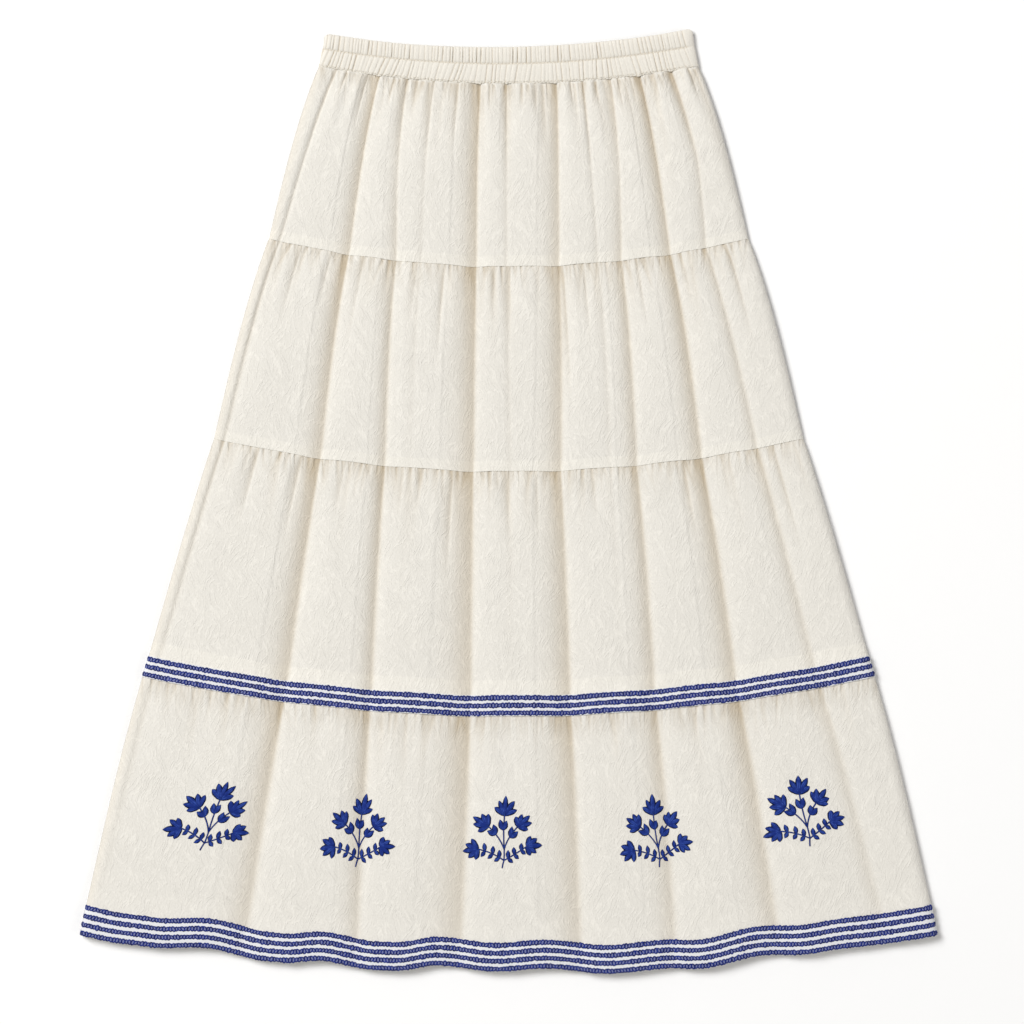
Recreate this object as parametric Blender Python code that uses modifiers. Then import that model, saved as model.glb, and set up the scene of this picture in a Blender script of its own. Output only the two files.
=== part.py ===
"""A tiered midi skirt of light cotton, laid flat on its back with the front up.

The front and back of each tier, of the gathered waistband and of the two braids are pieces of their own.
The floor is z = 0, the waist points to +Y and the skirt is centred on the origin.
Sizes are in millimetres until a point is placed.
"""

import math
import random
from collections import namedtuple

import bpy

MM = 0.001

# Cloth
CLOTH = 1.2
BAND_CLOTH = 1.6
BRAID = 1.0
SEAM_GAP = 0.3

# How high the cloth lies
SIDE_TOP = 2.7
BAND_SIDE_TOP = 3.6
TROUGH_FLOOR = 3.2
BACK_RIDGE = 2.4
BRAID_LIFT = 1.3
LIFT_RAMP = 15.0
SIDE_ROLL = 13.0
BAND_WAVE = 0.9
BAND_SWELL = 0.8
BAND_OVER_BACK = 1.6
CORNER_RADIUS = 5.0

# Where the waist's middle lies on the floor
WAIST_Y = 400.0

# Rows across the skirt. drop is measured down the centre line, half_width is half the flat width,
# rise is how much further up the sides lie than the centre, lean is how much the right side lies up,
# crest is how high the cloth stands between folds, and sag is how far a full fold hangs down the row.
Row = namedtuple("Row", "name drop half_width rise lean crest sag")
ROWS = [
    Row("waist top", 0.0, 162.0, 13.2, 2.6, 6.0, 0.0),
    Row("channel line", 13.6, 163.7, 14.5, 1.3, 6.0, 0.0),
    Row("waist seam", 32.6, 167.6, 15.4, 0.0, 7.4, 0.0),
    Row("seam 1", 191.8, 211.2, 24.2, 0.0, 7.2, 2.6),
    Row("seam 2", 372.2, 259.6, 28.6, 0.0, 7.6, 2.6),
    Row("seam 3", 578.3, 319.5, 34.5, 0.0, 8.0, 2.2),
    Row("hem braid top", 790.2, 371.4, 36.1, 0.0, 8.6, -3.6),
    Row("hem", 814.9, 377.5, 34.3, 0.0, 8.6, -4.4),
]

# Tiers between two rows. bulge is how far the sides swell out and puff how far the front swells up.
# gather is the height of its gathers, reach how far down they run and starts how far below the seam
# they start, which is past the braid on tier 4.
Tier = namedtuple("Tier", "name top bottom bulge puff gather reach starts seed")
TIERS = [
    Tier("tier_1", "waist seam", "seam 1", 3.5, 3.0, 1.1, 70.0, 0.0, 11),
    Tier("tier_2", "seam 1", "seam 2", 3.4, 2.8, 0.9, 60.0, 0.0, 23),
    Tier("tier_3", "seam 2", "seam 3", 1.3, 2.6, 0.9, 60.0, 0.0, 37),
    Tier("tier_4", "seam 3", "hem", 2.5, 2.0, 0.7, 60.0, 25.0, 41),
]
FRONT_GATHERS = 14
BACK_GATHERS = 6
BAND_GATHERS = 54
TIER_STEPS = (0.0, 0.1, 0.32, 0.64, 1.0)
BACK_STEPS = (0.0, 0.15, 0.45, 1.0)
BAND_STEPS = (0.0, 0.12, 0.417, 0.6, 1.0)

# Braids sewn on the cloth, from one drop to another
Braid = namedtuple("Braid", "name top bottom")
BRAIDS = [
    Braid("trim_upper", 568.9, 587.8),
    Braid("trim_hem", 790.2, 814.9),
]

# The long folds that run down the skirt, by where they lie from -1, the left side, to 1, the right side,
# at five rows, and how deep they are there from 0 to 1. ramp is the width of the slope on their left.
FOLD_ROWS = ("waist seam", "seam 1", "seam 2", "seam 3", "hem")
Fold = namedtuple("Fold", "name at deep ramp main")
FOLDS = [
    Fold("left edge", (-0.935, -0.960, -0.972, -0.978, -0.978), (0.55, 0.45, 0.40, 0.25, 0.00), 0.020, False),
    Fold("a", (-0.700, -0.690, -0.665, -0.645, -0.640), (0.80, 0.85, 0.85, 0.85, 0.60), 0.090, True),
    Fold("b", (-0.550, -0.495, -0.440, -0.415, -0.395), (0.60, 0.50, 0.70, 0.80, 0.50), 0.055, True),
    Fold("b side", (-0.410, -0.385, -0.340, -0.310, -0.300), (0.50, 0.20, 0.05, 0.00, 0.00), 0.040, False),
    Fold("c", (-0.170, -0.160, -0.145, -0.130, -0.130), (0.80, 0.80, 0.85, 0.85, 0.65), 0.120, True),
    Fold("middle", (-0.025, -0.010, 0.000, 0.000, 0.000), (0.60, 0.30, 0.20, 0.05, 0.00), 0.035, False),
    Fold("d", (0.240, 0.205, 0.165, 0.155, 0.150), (0.85, 0.70, 0.75, 0.90, 0.60), 0.100, True),
    Fold("e side", (0.380, 0.375, 0.340, 0.310, 0.300), (0.65, 0.35, 0.10, 0.00, 0.00), 0.030, False),
    Fold("e", (0.520, 0.475, 0.430, 0.390, 0.390), (0.70, 0.60, 0.70, 0.75, 0.50), 0.065, True),
    Fold("f", (0.680, 0.668, 0.645, 0.620, 0.625), (0.95, 0.90, 0.90, 0.90, 0.60), 0.085, True),
    Fold("g", (0.850, 0.840, 0.830, 0.835, 0.869), (0.85, 0.40, 0.50, 0.45, 0.30), 0.045, True),
]
FOLD_WALL = 0.016
FOLD_TAIL = 0.050

# Ridges of the back, which rise off the floor under the front's high parts
Ridge = namedtuple("Ridge", "at half_width height")
RIDGES = [
    Ridge(-0.86, 0.045, 0.9),
    Ridge(-0.55, 0.035, 1.0),
    Ridge(-0.31, 0.050, 0.8),
    Ridge(-0.04, 0.040, 1.0),
    Ridge(0.27, 0.045, 0.9),
    Ridge(0.52, 0.035, 0.8),
    Ridge(0.76, 0.040, 1.0),
    Ridge(0.93, 0.025, 0.7),
]

# Colours, as linear values
COTTON = (0.79, 0.75, 0.66)
COTTON_SHADE = (0.77, 0.74, 0.66)
BLUE = (0.030, 0.062, 0.250)
Paint = namedtuple("Paint", "name colour roughness")
COTTON_PAINT = Paint("ivory cotton", COTTON, 0.88)
BAND_PAINT = Paint("gathered ivory cotton", COTTON_SHADE, 0.88)
BRAID_PAINT = Paint("blue braid", BLUE, 0.80)


# Rows and sides

def row(name):
    return next(r for r in ROWS if r.name == name)


def between(x, xs, ys):
    """The value at x on the straight lines through the points (xs, ys)."""
    if x <= xs[0]:
        return ys[0]
    for x0, x1, y0, y1 in zip(xs, xs[1:], ys, ys[1:]):
        if x <= x1:
            return y0 + (y1 - y0) * (x - x0) / (x1 - x0)
    return ys[-1]


def row_value(field, drop):
    return between(drop, [r.drop for r in ROWS], [getattr(r, field) for r in ROWS])


def tier_at(drop):
    """The tier at a drop and how far down it the drop lies, from 0 to 1, or None on the waistband."""
    for tier in TIERS:
        top = row(tier.top).drop
        bottom = row(tier.bottom).drop
        if top <= drop <= bottom:
            return tier, (drop - top) / (bottom - top)
    return None, 0.0


def swelling(part):
    """0 at both ends of a tier and 1 a little above its middle."""
    return math.sin(math.pi * part ** 0.75)


def half_width(drop):
    tier, part = tier_at(drop)
    bulge = tier.bulge * swelling(part) if tier else 0.0
    return row_value("half_width", drop) + bulge


def smooth(t):
    """0 below 0, 1 above 1, and an S between them."""
    t = max(0.0, min(1.0, t))
    return t * t * (3.0 - 2.0 * t)


# Folds

def fold_at(fold, drop):
    return between(drop, [row(name).drop for name in FOLD_ROWS], fold.at)


def fold_depth(fold, drop):
    return between(drop, [row(name).drop for name in FOLD_ROWS], fold.deep)


def trough(offset, ramp):
    """A fold's depth beside its deepest line: a slope on the left and a steep wall with a tail on the right."""
    if offset <= 0.0:
        return smooth(1.0 + offset / ramp)
    wall = 0.6 * math.exp(-(offset / FOLD_WALL) ** 2)
    tail = 0.4 * math.exp(-(offset / FOLD_TAIL) ** 2)
    return wall + tail


def openness(u, drop):
    """1 between the folds and 0 in the deepest of them."""
    value = 1.0
    for fold in FOLDS:
        value *= 1.0 - fold_depth(fold, drop) * trough(u - fold_at(fold, drop), fold.ramp)
    return value


def across(q, drop):
    """Where the column q runs at a drop. Columns keep their place beside the folds."""
    anchors = [-1.0] + [fold.at[2] for fold in FOLDS] + [1.0]
    places = [-1.0] + [fold_at(fold, drop) for fold in FOLDS] + [1.0]
    return between(q, anchors, places)


# Gathers

def knots(count, seed):
    """Places of count uneven gathers, as pairs of place and height, high and low by turns."""
    wander = random.Random(seed)
    step = 1.94 / (2 * count)
    pairs = []
    for k in range(2 * count + 1):
        place = -0.97 + step * (k + wander.uniform(-0.25, 0.25))
        height = (1.0 if k % 2 else -1.0) * wander.uniform(0.6, 1.0)
        pairs.append((place, height))
    return pairs


def gather(q, pairs):
    """Height of the gathers at a column, from -1 to 1."""
    places = [-1.0] + [p for p, h in pairs] + [1.0]
    heights = [0.0] + [h for p, h in pairs] + [0.0]
    return between(q, places, heights)


def gather_strength(tier, drop):
    """1 under the seam that a tier hangs from, and 0 past the reach of its gathers."""
    below = drop - row(tier.top).drop
    if below < tier.starts:
        return smooth(1.0 - (tier.starts - below) / 10.0)
    return smooth(1.0 - (below - tier.starts) / tier.reach)


# Heights

def level(drop):
    """The drop whose heights hold here: across a braid they stay those of its middle line."""
    for braid in BRAIDS:
        middle = (braid.top + braid.bottom) / 2
        stops = [braid.top - 25.0, braid.top - 1.0, braid.bottom + 1.0, braid.bottom + 25.0]
        if stops[0] < drop < stops[3]:
            return between(drop, stops, [stops[0], middle, middle, stops[3]])
    return drop


def braid_lift(drop):
    """How far the cloth is lifted off the floor by the braid under it."""
    lift = 0.0
    for braid in BRAIDS:
        away = max(braid.top - 1.0 - drop, drop - braid.bottom - 1.0, 0.0)
        lift = max(lift, BRAID_LIFT * max(0.0, 1.0 - away / LIFT_RAMP))
    return lift


def roll(u, drop):
    """0 at the side edge and 1 past the rounding of the side."""
    inward = (1.0 - abs(u)) * half_width(drop) / SIDE_ROLL
    return math.sqrt(max(0.0, 1.0 - (1.0 - min(1.0, inward)) ** 2))


def front_height(u, q, drop, tier, pairs):
    """Height of a front tier's outer face over the floor."""
    held = level(drop)
    top = row(tier.top).drop
    bottom = row(tier.bottom).drop
    part = max(0.0, min(1.0, (held - top) / (bottom - top)))
    crest = row_value("crest", held) + tier.puff * swelling(part)
    opened = openness(u, held)
    height = TROUGH_FLOOR + (crest - TROUGH_FLOOR) * opened
    height += tier.gather * gather_strength(tier, drop) * gather(q, pairs) * (0.35 + 0.65 * opened)
    return SIDE_TOP + (height - SIDE_TOP) * roll(u, drop) + braid_lift(drop)


def back_height(u, q, drop, tier, pairs):
    """Height of a back tier's outer face over the floor, which is 0 where it rests."""
    held = level(drop)
    ridge = 0.0
    for r in RIDGES:
        ridge = max(ridge, r.height * smooth(1.0 - abs(u - r.at) / r.half_width))
    clear = smooth((openness(u, held) - 0.45) / 0.35)
    sides = smooth((1.0 - abs(u)) * half_width(drop) / SIDE_ROLL)
    gathered = 0.4 * tier.gather * gather_strength(tier, drop) * (1.0 + gather(q, pairs))
    quiet = smooth(min(drop - row(tier.top).drop, row(tier.bottom).drop - drop) / 40.0 + 0.35)
    height = max(BACK_RIDGE * ridge * quiet, gathered)
    return height * clear * sides + braid_lift(drop)


def band_swelling(drop):
    """The two channels of the waistband stand up between their stitch lines."""
    line = row("channel line").drop
    bottom = row("waist seam").drop
    part = drop / line if drop <= line else (drop - line) / (bottom - line)
    return BAND_SWELL * math.sin(math.pi * max(0.0, min(1.0, part)))


def band_front_height(u, q, drop, pairs):
    rise = BAND_OVER_BACK + BAND_WAVE * gather(q, pairs) + band_swelling(drop)
    return BAND_SIDE_TOP + rise * roll(u, drop)


def band_back_height(u, q, drop, pairs):
    """The back's gathers follow the front's, so that the two bands nest."""
    return BAND_WAVE * (1.0 + gather(q, pairs)) * roll(u, drop)


# Points

def corner_drop(u, drop):
    """The rounded upper corners of the waistband."""
    inward = (1.0 - abs(u)) * half_width(drop)
    if drop >= CORNER_RADIUS or inward >= CORNER_RADIUS:
        return drop
    arc = CORNER_RADIUS - math.sqrt(CORNER_RADIUS ** 2 - (CORNER_RADIUS - inward) ** 2)
    return max(drop, arc)


def place(u, drop, height):
    """The point in metres at a place across the skirt, a drop and a height over the floor."""
    drop = corner_drop(u, drop)
    sag = row_value("sag", drop) * (openness(u, level(drop)) - 1.0)
    x = half_width(drop) * u
    y = WAIST_Y - drop + row_value("rise", drop) * u * u + row_value("lean", drop) * u + sag
    return (x * MM, y * MM, height * MM)


# Columns and rows of a piece

def spread(places, nearest, widest):
    """Sorted columns from -1 to 1, no nearer than nearest and no wider apart than widest."""
    kept = [-1.0]
    for p in places:
        if all(abs(p - k) >= nearest for k in kept) and p < 1.0 - nearest:
            kept.append(p)
    kept.append(1.0)
    kept.sort()
    columns = [kept[0]]
    for a, b in zip(kept, kept[1:]):
        parts = math.ceil((b - a) / widest - 1e-9)
        columns += [a + (b - a) * k / parts for k in range(1, parts + 1)]
    return columns


def side_columns():
    return [side * (1.0 - inward) for inward in (0.014, 0.042) for side in (-1.0, 1.0)]


def front_columns():
    places = side_columns()
    for fold in FOLDS:
        places.append(fold.at[2])
    for fold in FOLDS:
        q = fold.at[2]
        if fold.main:
            places += [q + FOLD_WALL, q - fold.ramp, q - 0.45 * fold.ramp, q + FOLD_TAIL]
        else:
            places += [q + FOLD_WALL, q - fold.ramp]
    places += [p for p, h in knots(FRONT_GATHERS, TIERS[0].seed)]
    return spread(places, 0.0125, 0.060)


def back_columns():
    places = side_columns()
    for r in RIDGES:
        places += [r.at, r.at - r.half_width, r.at + r.half_width]
    places += [p for p, h in knots(BACK_GATHERS, TIERS[0].seed)]
    return spread(places, 0.0240, 0.120)


def tier_drops(tier, steps):
    """Drops of a tier's rows of points, with a row at each side of the braids on it."""
    top = row(tier.top).drop + (SEAM_GAP / 2)
    bottom = row(tier.bottom).drop
    if tier.bottom != "hem":
        bottom -= SEAM_GAP / 2
    drops = [top, bottom]
    for braid in BRAIDS:
        edges = [braid.top - 1.0, braid.bottom + 1.0]
        edges += [braid.top - 1.0 - LIFT_RAMP, braid.bottom + 1.0 + LIFT_RAMP]
        drops += [d for d in edges if top + 4.0 < d < bottom - 4.0]
    for step in steps[1:-1]:
        drop = top + (bottom - top) * step
        if all(abs(drop - d) > 14.0 for d in drops):
            drops.append(drop)
    return sorted(drops)


# Building

def paint(spec):
    material = bpy.data.materials.get(spec.name)
    if material is None:
        material = bpy.data.materials.new(spec.name)
        material.use_nodes = True
        shader = material.node_tree.nodes["Principled BSDF"]
        shader.inputs["Base Color"].default_value = (*spec.colour, 1.0)
        shader.inputs["Roughness"].default_value = spec.roughness
        shader.inputs["Metallic"].default_value = 0.0
        material.diffuse_color = (*spec.colour, 1.0)
    return material


def cloth(name, columns, drops, height, spec, thickness, grows, away=0.0):
    """A wall of cloth over a grid of columns and drops.

    height gives the face that the wall grows from, up for grows = 1 and down for grows = -1.
    away first moves that face out along its normals, for a piece that lies on another.
    """
    wide = len(columns) - 1
    long = len(drops) - 1
    bpy.ops.mesh.primitive_grid_add(x_subdivisions=wide, y_subdivisions=long, size=2.0)
    piece = bpy.context.object
    piece.name = name
    piece.data.name = name
    for vertex in piece.data.vertices:
        i = round((vertex.co.x + 1.0) / 2.0 * wide)
        j = round((1.0 - vertex.co.y) / 2.0 * long)
        q = columns[i]
        drop = drops[j]
        u = across(q, drop)
        vertex.co = place(u, drop, height(u, q, drop))
    piece.data.update()
    if away:
        normals = [vertex.normal.copy() for vertex in piece.data.vertices]
        for vertex, normal in zip(piece.data.vertices, normals):
            vertex.co += normal * away * MM
    piece.data.materials.append(paint(spec))
    facets = piece.modifiers.new("Facets", "TRIANGULATE")
    facets.quad_method = "FIXED"
    wall = piece.modifiers.new("Wall", "SOLIDIFY")
    wall.thickness = thickness * MM
    wall.offset = grows
    wall.use_even_offset = False
    return piece


def build_waistband(collect):
    pairs = knots(BAND_GATHERS, 5)
    columns = [-1.0] + [p for p, h in pairs] + [1.0]
    end = row("waist seam").drop - SEAM_GAP / 2
    drops = [end * step for step in BAND_STEPS]

    def front(u, q, drop):
        return band_front_height(u, q, drop, pairs)

    def back(u, q, drop):
        return band_back_height(u, q, drop, pairs)

    collect(cloth("waistband_front", columns, drops, front, BAND_PAINT, BAND_CLOTH, -1))
    collect(cloth("waistband_back", columns, drops, back, BAND_PAINT, BAND_CLOTH, 1))


def build_tier(tier, collect):
    front_pairs = knots(FRONT_GATHERS, tier.seed)
    back_pairs = knots(BACK_GATHERS, tier.seed)

    def front(u, q, drop):
        return front_height(u, q, drop, tier, front_pairs)

    def back(u, q, drop):
        return back_height(u, q, drop, tier, back_pairs)

    front_drops = tier_drops(tier, TIER_STEPS)
    back_drops = tier_drops(tier, BACK_STEPS)
    collect(cloth(tier.name + "_front", front_columns(), front_drops, front, COTTON_PAINT, CLOTH, -1))
    collect(cloth(tier.name + "_back", back_columns(), back_drops, back, COTTON_PAINT, CLOTH, 1))


def build_braid(braid, collect):
    """The front braid lies on the front tiers, and the back one between the back tiers and the floor."""
    tier = TIERS[-1]
    pairs = knots(FRONT_GATHERS, tier.seed)

    def front(u, q, drop):
        return front_height(u, q, drop, tier, pairs)

    def back(u, q, drop):
        return 0.0

    drops = [braid.top, braid.bottom]
    collect(cloth(braid.name + "_front", front_columns(), drops, front, BRAID_PAINT, BRAID, 1, SEAM_GAP))
    collect(cloth(braid.name + "_back", back_columns(), drops, back, BRAID_PAINT, BRAID, 1))


def main():
    for old in list(bpy.data.objects):
        bpy.data.objects.remove(old, do_unlink=True)
    collection = bpy.data.collections.new("tiered_midi_skirt")
    bpy.context.scene.collection.children.link(collection)

    def collect(piece):
        for holder in list(piece.users_collection):
            holder.objects.unlink(piece)
        collection.objects.link(piece)

    build_waistband(collect)
    for tier in TIERS:
        build_tier(tier, collect)
    for braid in BRAIDS:
        build_braid(braid, collect)


main()
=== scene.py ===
"""A tiered midi skirt of ivory cotton, laid flat, with braids and embroidered sprigs.

Lengths are in millimetres. drop runs down from the waist's top edge and u runs across, from -1 at the left
side fold to 1 at the right. q is a column of a cloth's grid, which follows the long folds.
"""

import math
import random
from collections import namedtuple

import bmesh
import bpy
import numpy as np
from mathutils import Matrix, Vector


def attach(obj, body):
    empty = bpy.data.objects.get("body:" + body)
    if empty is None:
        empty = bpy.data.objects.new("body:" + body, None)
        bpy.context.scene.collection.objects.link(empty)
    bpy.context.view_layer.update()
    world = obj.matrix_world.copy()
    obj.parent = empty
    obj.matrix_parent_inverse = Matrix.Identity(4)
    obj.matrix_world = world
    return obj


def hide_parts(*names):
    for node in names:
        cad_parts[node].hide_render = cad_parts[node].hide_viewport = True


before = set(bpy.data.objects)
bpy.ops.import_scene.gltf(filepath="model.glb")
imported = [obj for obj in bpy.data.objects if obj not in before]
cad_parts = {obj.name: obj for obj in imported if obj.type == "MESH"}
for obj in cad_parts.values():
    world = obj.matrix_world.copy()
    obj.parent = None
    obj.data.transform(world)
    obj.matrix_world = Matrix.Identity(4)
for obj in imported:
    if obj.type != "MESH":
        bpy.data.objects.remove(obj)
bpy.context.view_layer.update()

MM = 0.001
WAIST_Y = 400.0

# Rows, tiers, braids and long folds, as in the part's source. A row has its drop, half its width, how far its
# sides rise and lean, the height of its crests, and how far it sags between them.
Row = namedtuple("Row", "name drop half_width rise lean crest sag")
ROWS = [
    Row("waist top", 0.0, 162.0, 13.2, 2.6, 6.0, 0.0),
    Row("channel line", 13.6, 163.7, 14.5, 1.3, 6.0, 0.0),
    Row("waist seam", 32.6, 167.6, 15.4, 0.0, 7.4, 0.0),
    Row("seam 1", 191.8, 211.2, 24.2, 0.0, 7.2, 2.6),
    Row("seam 2", 372.2, 259.6, 28.6, 0.0, 7.6, 2.6),
    Row("seam 3", 578.3, 319.5, 34.5, 0.0, 8.0, 2.2),
    Row("hem braid top", 790.2, 371.4, 36.1, 0.0, 8.6, -3.6),
    Row("hem", 814.9, 377.5, 34.3, 0.0, 8.6, -4.4),
]
ROW = {r.name: r for r in ROWS}
# A tier's sides bow out by bulge and its middle rises by puff. gather, reach and starts are the height, length
# and first place of its broad gathers, and fine, fine_height and fine_reach belong to its small creases.
Tier = namedtuple("Tier", "name top bottom bulge puff gather reach starts seed fine fine_height fine_reach")
TIERS = [
    Tier("tier_1", "waist seam", "seam 1", 3.5, 3.0, 1.1, 70.0, 0.0, 11, 40, 1.0, 26.0),
    Tier("tier_2", "seam 1", "seam 2", 3.4, 2.8, 0.9, 60.0, 0.0, 23, 66, 1.1, 16.0),
    Tier("tier_3", "seam 2", "seam 3", 1.3, 2.6, 0.9, 60.0, 0.0, 37, 84, 1.1, 16.0),
    Tier("tier_4", "seam 3", "hem", 2.5, 2.0, 0.7, 60.0, 25.0, 41, 84, 0.7, 16.0),
]
Braid = namedtuple("Braid", "name top bottom rows")
BRAIDS = [
    Braid("trim_upper", 568.9, 587.8, 3),
    Braid("trim_hem", 790.2, 814.9, 4),
]
# A long fold's place across and depth at each of these drops, and how wide its slope is
FOLD_ROWS = [ROW["waist seam"].drop, 112.0] + [ROW[n].drop for n in ("seam 1", "seam 2", "seam 3", "hem")]
Fold = namedtuple("Fold", "name at deep ramp")
FOLDS = [
    Fold("left", (-0.905, -0.930, -0.955, -0.965, -0.970, -0.970), (0.55, 0.30, 0.40, 0.35, 0.20, 0.0), 0.02),
    Fold("a", (-0.680, -0.674, -0.668, -0.641, -0.617, -0.624), (0.80, 0.80, 0.85, 0.90, 0.90, 0.65), 0.090),
    Fold("b", (-0.532, -0.508, -0.470, -0.422, -0.382, -0.360), (0.60, 0.32, 0.60, 0.75, 0.80, 0.55), 0.060),
    Fold("b2", (-0.392, -0.383, -0.365, -0.335, -0.310, -0.300), (0.50, 0.12, 0.15, 0.05, 0.00, 0.00), 0.040),
    Fold("c", (-0.150, -0.146, -0.136, -0.122, -0.108, -0.118), (0.80, 0.95, 0.90, 0.90, 0.90, 0.70), 0.120),
    Fold("middle", (-0.010, -0.010, -0.008, 0.006, 0.006, 0.006), (0.60, 0.15, 0.22, 0.12, 0.00, 0.00), 0.035),
    Fold("d", (0.250, 0.226, 0.208, 0.175, 0.168, 0.165), (0.85, 0.70, 0.80, 0.80, 0.95, 0.65), 0.100),
    Fold("e2", (0.389, 0.378, 0.372, 0.345, 0.310, 0.300), (0.65, 0.20, 0.22, 0.10, 0.00, 0.00), 0.030),
    Fold("e", (0.534, 0.505, 0.468, 0.433, 0.402, 0.388), (0.70, 0.35, 0.65, 0.75, 0.78, 0.55), 0.070),
    Fold("f", (0.688, 0.680, 0.673, 0.653, 0.628, 0.630), (0.95, 0.95, 0.92, 0.92, 0.92, 0.65), 0.085),
    Fold("g", (0.856, 0.862, 0.822, 0.842, 0.848, 0.880), (0.85, 0.32, 0.45, 0.50, 0.45, 0.30), 0.050),
]
# How wide a fold's right wall is: narrow at a seam and wider below it
WALL_ROWS = [32.6, 90.0, 180.0, 192.0, 260.0, 362.0, 373.0, 450.0, 568.0, 579.0, 660.0, 815.0]
WALLS = [0.005, 0.009, 0.011, 0.0055, 0.014, 0.014, 0.0055, 0.015, 0.014, 0.008, 0.018, 0.018]

# Short pleats that open out below a seam, each as (place across, depth, width of its slope, reach downwards)
PLEATS = {
    "tier_1": [
        (-0.850, 0.35, 0.024, 18.0), (-0.738, 0.32, 0.030, 45.0), (-0.600, 0.35, 0.022, 20.0),
        (-0.478, 0.40, 0.022, 22.0), (-0.320, 0.30, 0.020, 16.0), (-0.262, 0.35, 0.040, 60.0),
        (-0.096, 0.42, 0.022, 20.0), (0.070, 0.35, 0.022, 18.0), (0.140, 0.42, 0.024, 24.0),
        (0.182, 0.25, 0.030, 50.0), (0.325, 0.35, 0.022, 18.0), (0.455, 0.35, 0.022, 20.0),
        (0.572, 0.40, 0.022, 26.0), (0.640, 0.35, 0.020, 22.0), (0.760, 0.40, 0.026, 24.0),
        (0.945, 0.35, 0.026, 26.0)],
    "tier_2": [
        (-0.860, 0.25, 0.025, 60.0), (-0.735, 0.25, 0.020, 45.0), (-0.600, 0.22, 0.030, 70.0),
        (-0.380, 0.25, 0.030, 50.0), (-0.265, 0.40, 0.024, 70.0), (-0.060, 0.30, 0.024, 45.0),
        (0.005, 0.30, 0.020, 60.0), (0.225, 0.55, 0.045, 105.0), (0.310, 0.30, 0.026, 60.0),
        (0.530, 0.30, 0.026, 55.0), (0.715, 0.25, 0.026, 45.0), (0.905, 0.45, 0.030, 75.0)],
    "tier_3": [
        (-0.845, 0.35, 0.030, 60.0), (-0.700, 0.35, 0.025, 70.0), (-0.555, 0.25, 0.025, 45.0),
        (-0.355, 0.30, 0.024, 40.0), (-0.190, 0.45, 0.030, 85.0), (0.000, 0.30, 0.020, 55.0),
        (0.095, 0.25, 0.024, 60.0), (0.285, 0.25, 0.026, 40.0), (0.590, 0.40, 0.026, 60.0),
        (0.720, 0.25, 0.024, 35.0), (0.895, 0.45, 0.026, 80.0)],
    "tier_4": [],
}
# Shares of the half width
FOLD_TAIL = 0.035
PLEAT_WALL = 0.005
PLEAT_TAIL = 0.022

# Cloth walls, what is tucked under the seam above, and the gap at a back's seams
SHELL = 0.55
BAND_SHELL = 0.8
TUCK = 2.2
WAIST_TUCK = 4.4
SEAM_CLEAR = 0.15

# Heights over the surface that the skirt lies on, and how far the cloth waves and lifts
SIDE_TOP = 2.7
BAND_SIDE_TOP = 3.6
TROUGH_FLOOR = 3.2
LOWEST_FACE = 2.6
UNDER_BAND = 4.6
BAND_RISE = 1.6
BAND_WAVE = 0.9
BRAID_LIFT = 1.3
SEAM_STEP = 0.35
TUCK_STEP = 0.8

# Lengths over which the cloth rises, evens out or rounds off
LIFT_RAMP = 15.0
LEVEL_RAMP = 25.0
SEAM_BLEND = 7.0
WAIST_ROUND = 3.6
SIDE_ROLL = 9.0
BAND_ROLL = 7.0
CORNER_RADIUS = 5.0
GATHER_ONSET = 10.0

# How much of tier 4 the upper braid covers, and the number of broad gathers
COVERED = 9.5
FRONT_GATHERS = 14
BACK_GATHERS = 6


# Shapes over the cloth

def row_value(field, drop):
    return np.interp(drop, [r.drop for r in ROWS], [getattr(r, field) for r in ROWS])


def smooth(t):
    t = np.clip(t, 0.0, 1.0)
    return t * t * (3.0 - 2.0 * t)


def half_width(drop):
    drop = np.asarray(drop, float)
    width = row_value("half_width", drop)
    for tier in TIERS:
        top = ROW[tier.top].drop
        part = (drop - top) / (ROW[tier.bottom].drop - top)
        inside = (part >= 0.0) & (part <= 1.0)
        width = width + np.where(inside, tier.bulge * np.sin(math.pi * np.clip(part, 0.0, 1.0) ** 0.75), 0.0)
    return width


def trough(offset, ramp, wall, tail):
    """A fold's depth beside its deepest line: a slope that steepens on the left, a steep wall on the right."""
    t = np.clip(1.0 + offset / ramp, 0.0, 1.0)
    left = 0.10 * smooth(t / 0.12) + 0.90 * t ** 2.0
    right = 0.52 * np.exp(-(offset / wall) ** 2) + 0.48 * np.exp(-(offset / tail) ** 2)
    return np.where(offset <= 0.0, left, right)


def openness(u, drop, form=trough):
    """What the long folds leave of the cloth's height, or of its light."""
    value = np.ones_like(u * drop)
    wall = np.interp(drop, WALL_ROWS, WALLS)
    for fold in FOLDS:
        at = np.interp(drop, FOLD_ROWS, fold.at)
        deep = np.interp(drop, FOLD_ROWS, fold.deep)
        value = value * (1.0 - deep * form(u - at, fold.ramp, wall, FOLD_TAIL + wall))
    return value


def pleated(u, drop, tier, form=trough):
    """What a tier's short pleats leave of its height or its light, 1 where there is none."""
    value = np.ones_like(u * drop)
    below = drop - ROW[tier.top].drop
    for at, deep, slope, reach in PLEATS[tier.name]:
        fading = deep * smooth(1.0 - (below - 0.3 * reach) / reach)
        spread = slope * (1.0 + 0.5 * np.clip(below / reach, 0.0, 1.5))
        value = value * (1.0 - fading * form(u - at, spread, PLEAT_WALL, PLEAT_TAIL))
    return value


def band_of_shade(offset, ramp, wall, tail):
    """A fold's shade: it sets in softly on the left and ends crisply at the right wall."""
    left = 0.30 * smooth((1.0 + offset / ramp) / 0.7) + 0.70 * smooth(1.0 + offset / (0.55 * ramp))
    return np.where(offset <= 0.0, left, np.exp(-(offset / (0.55 * wall)) ** 2))


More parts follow.
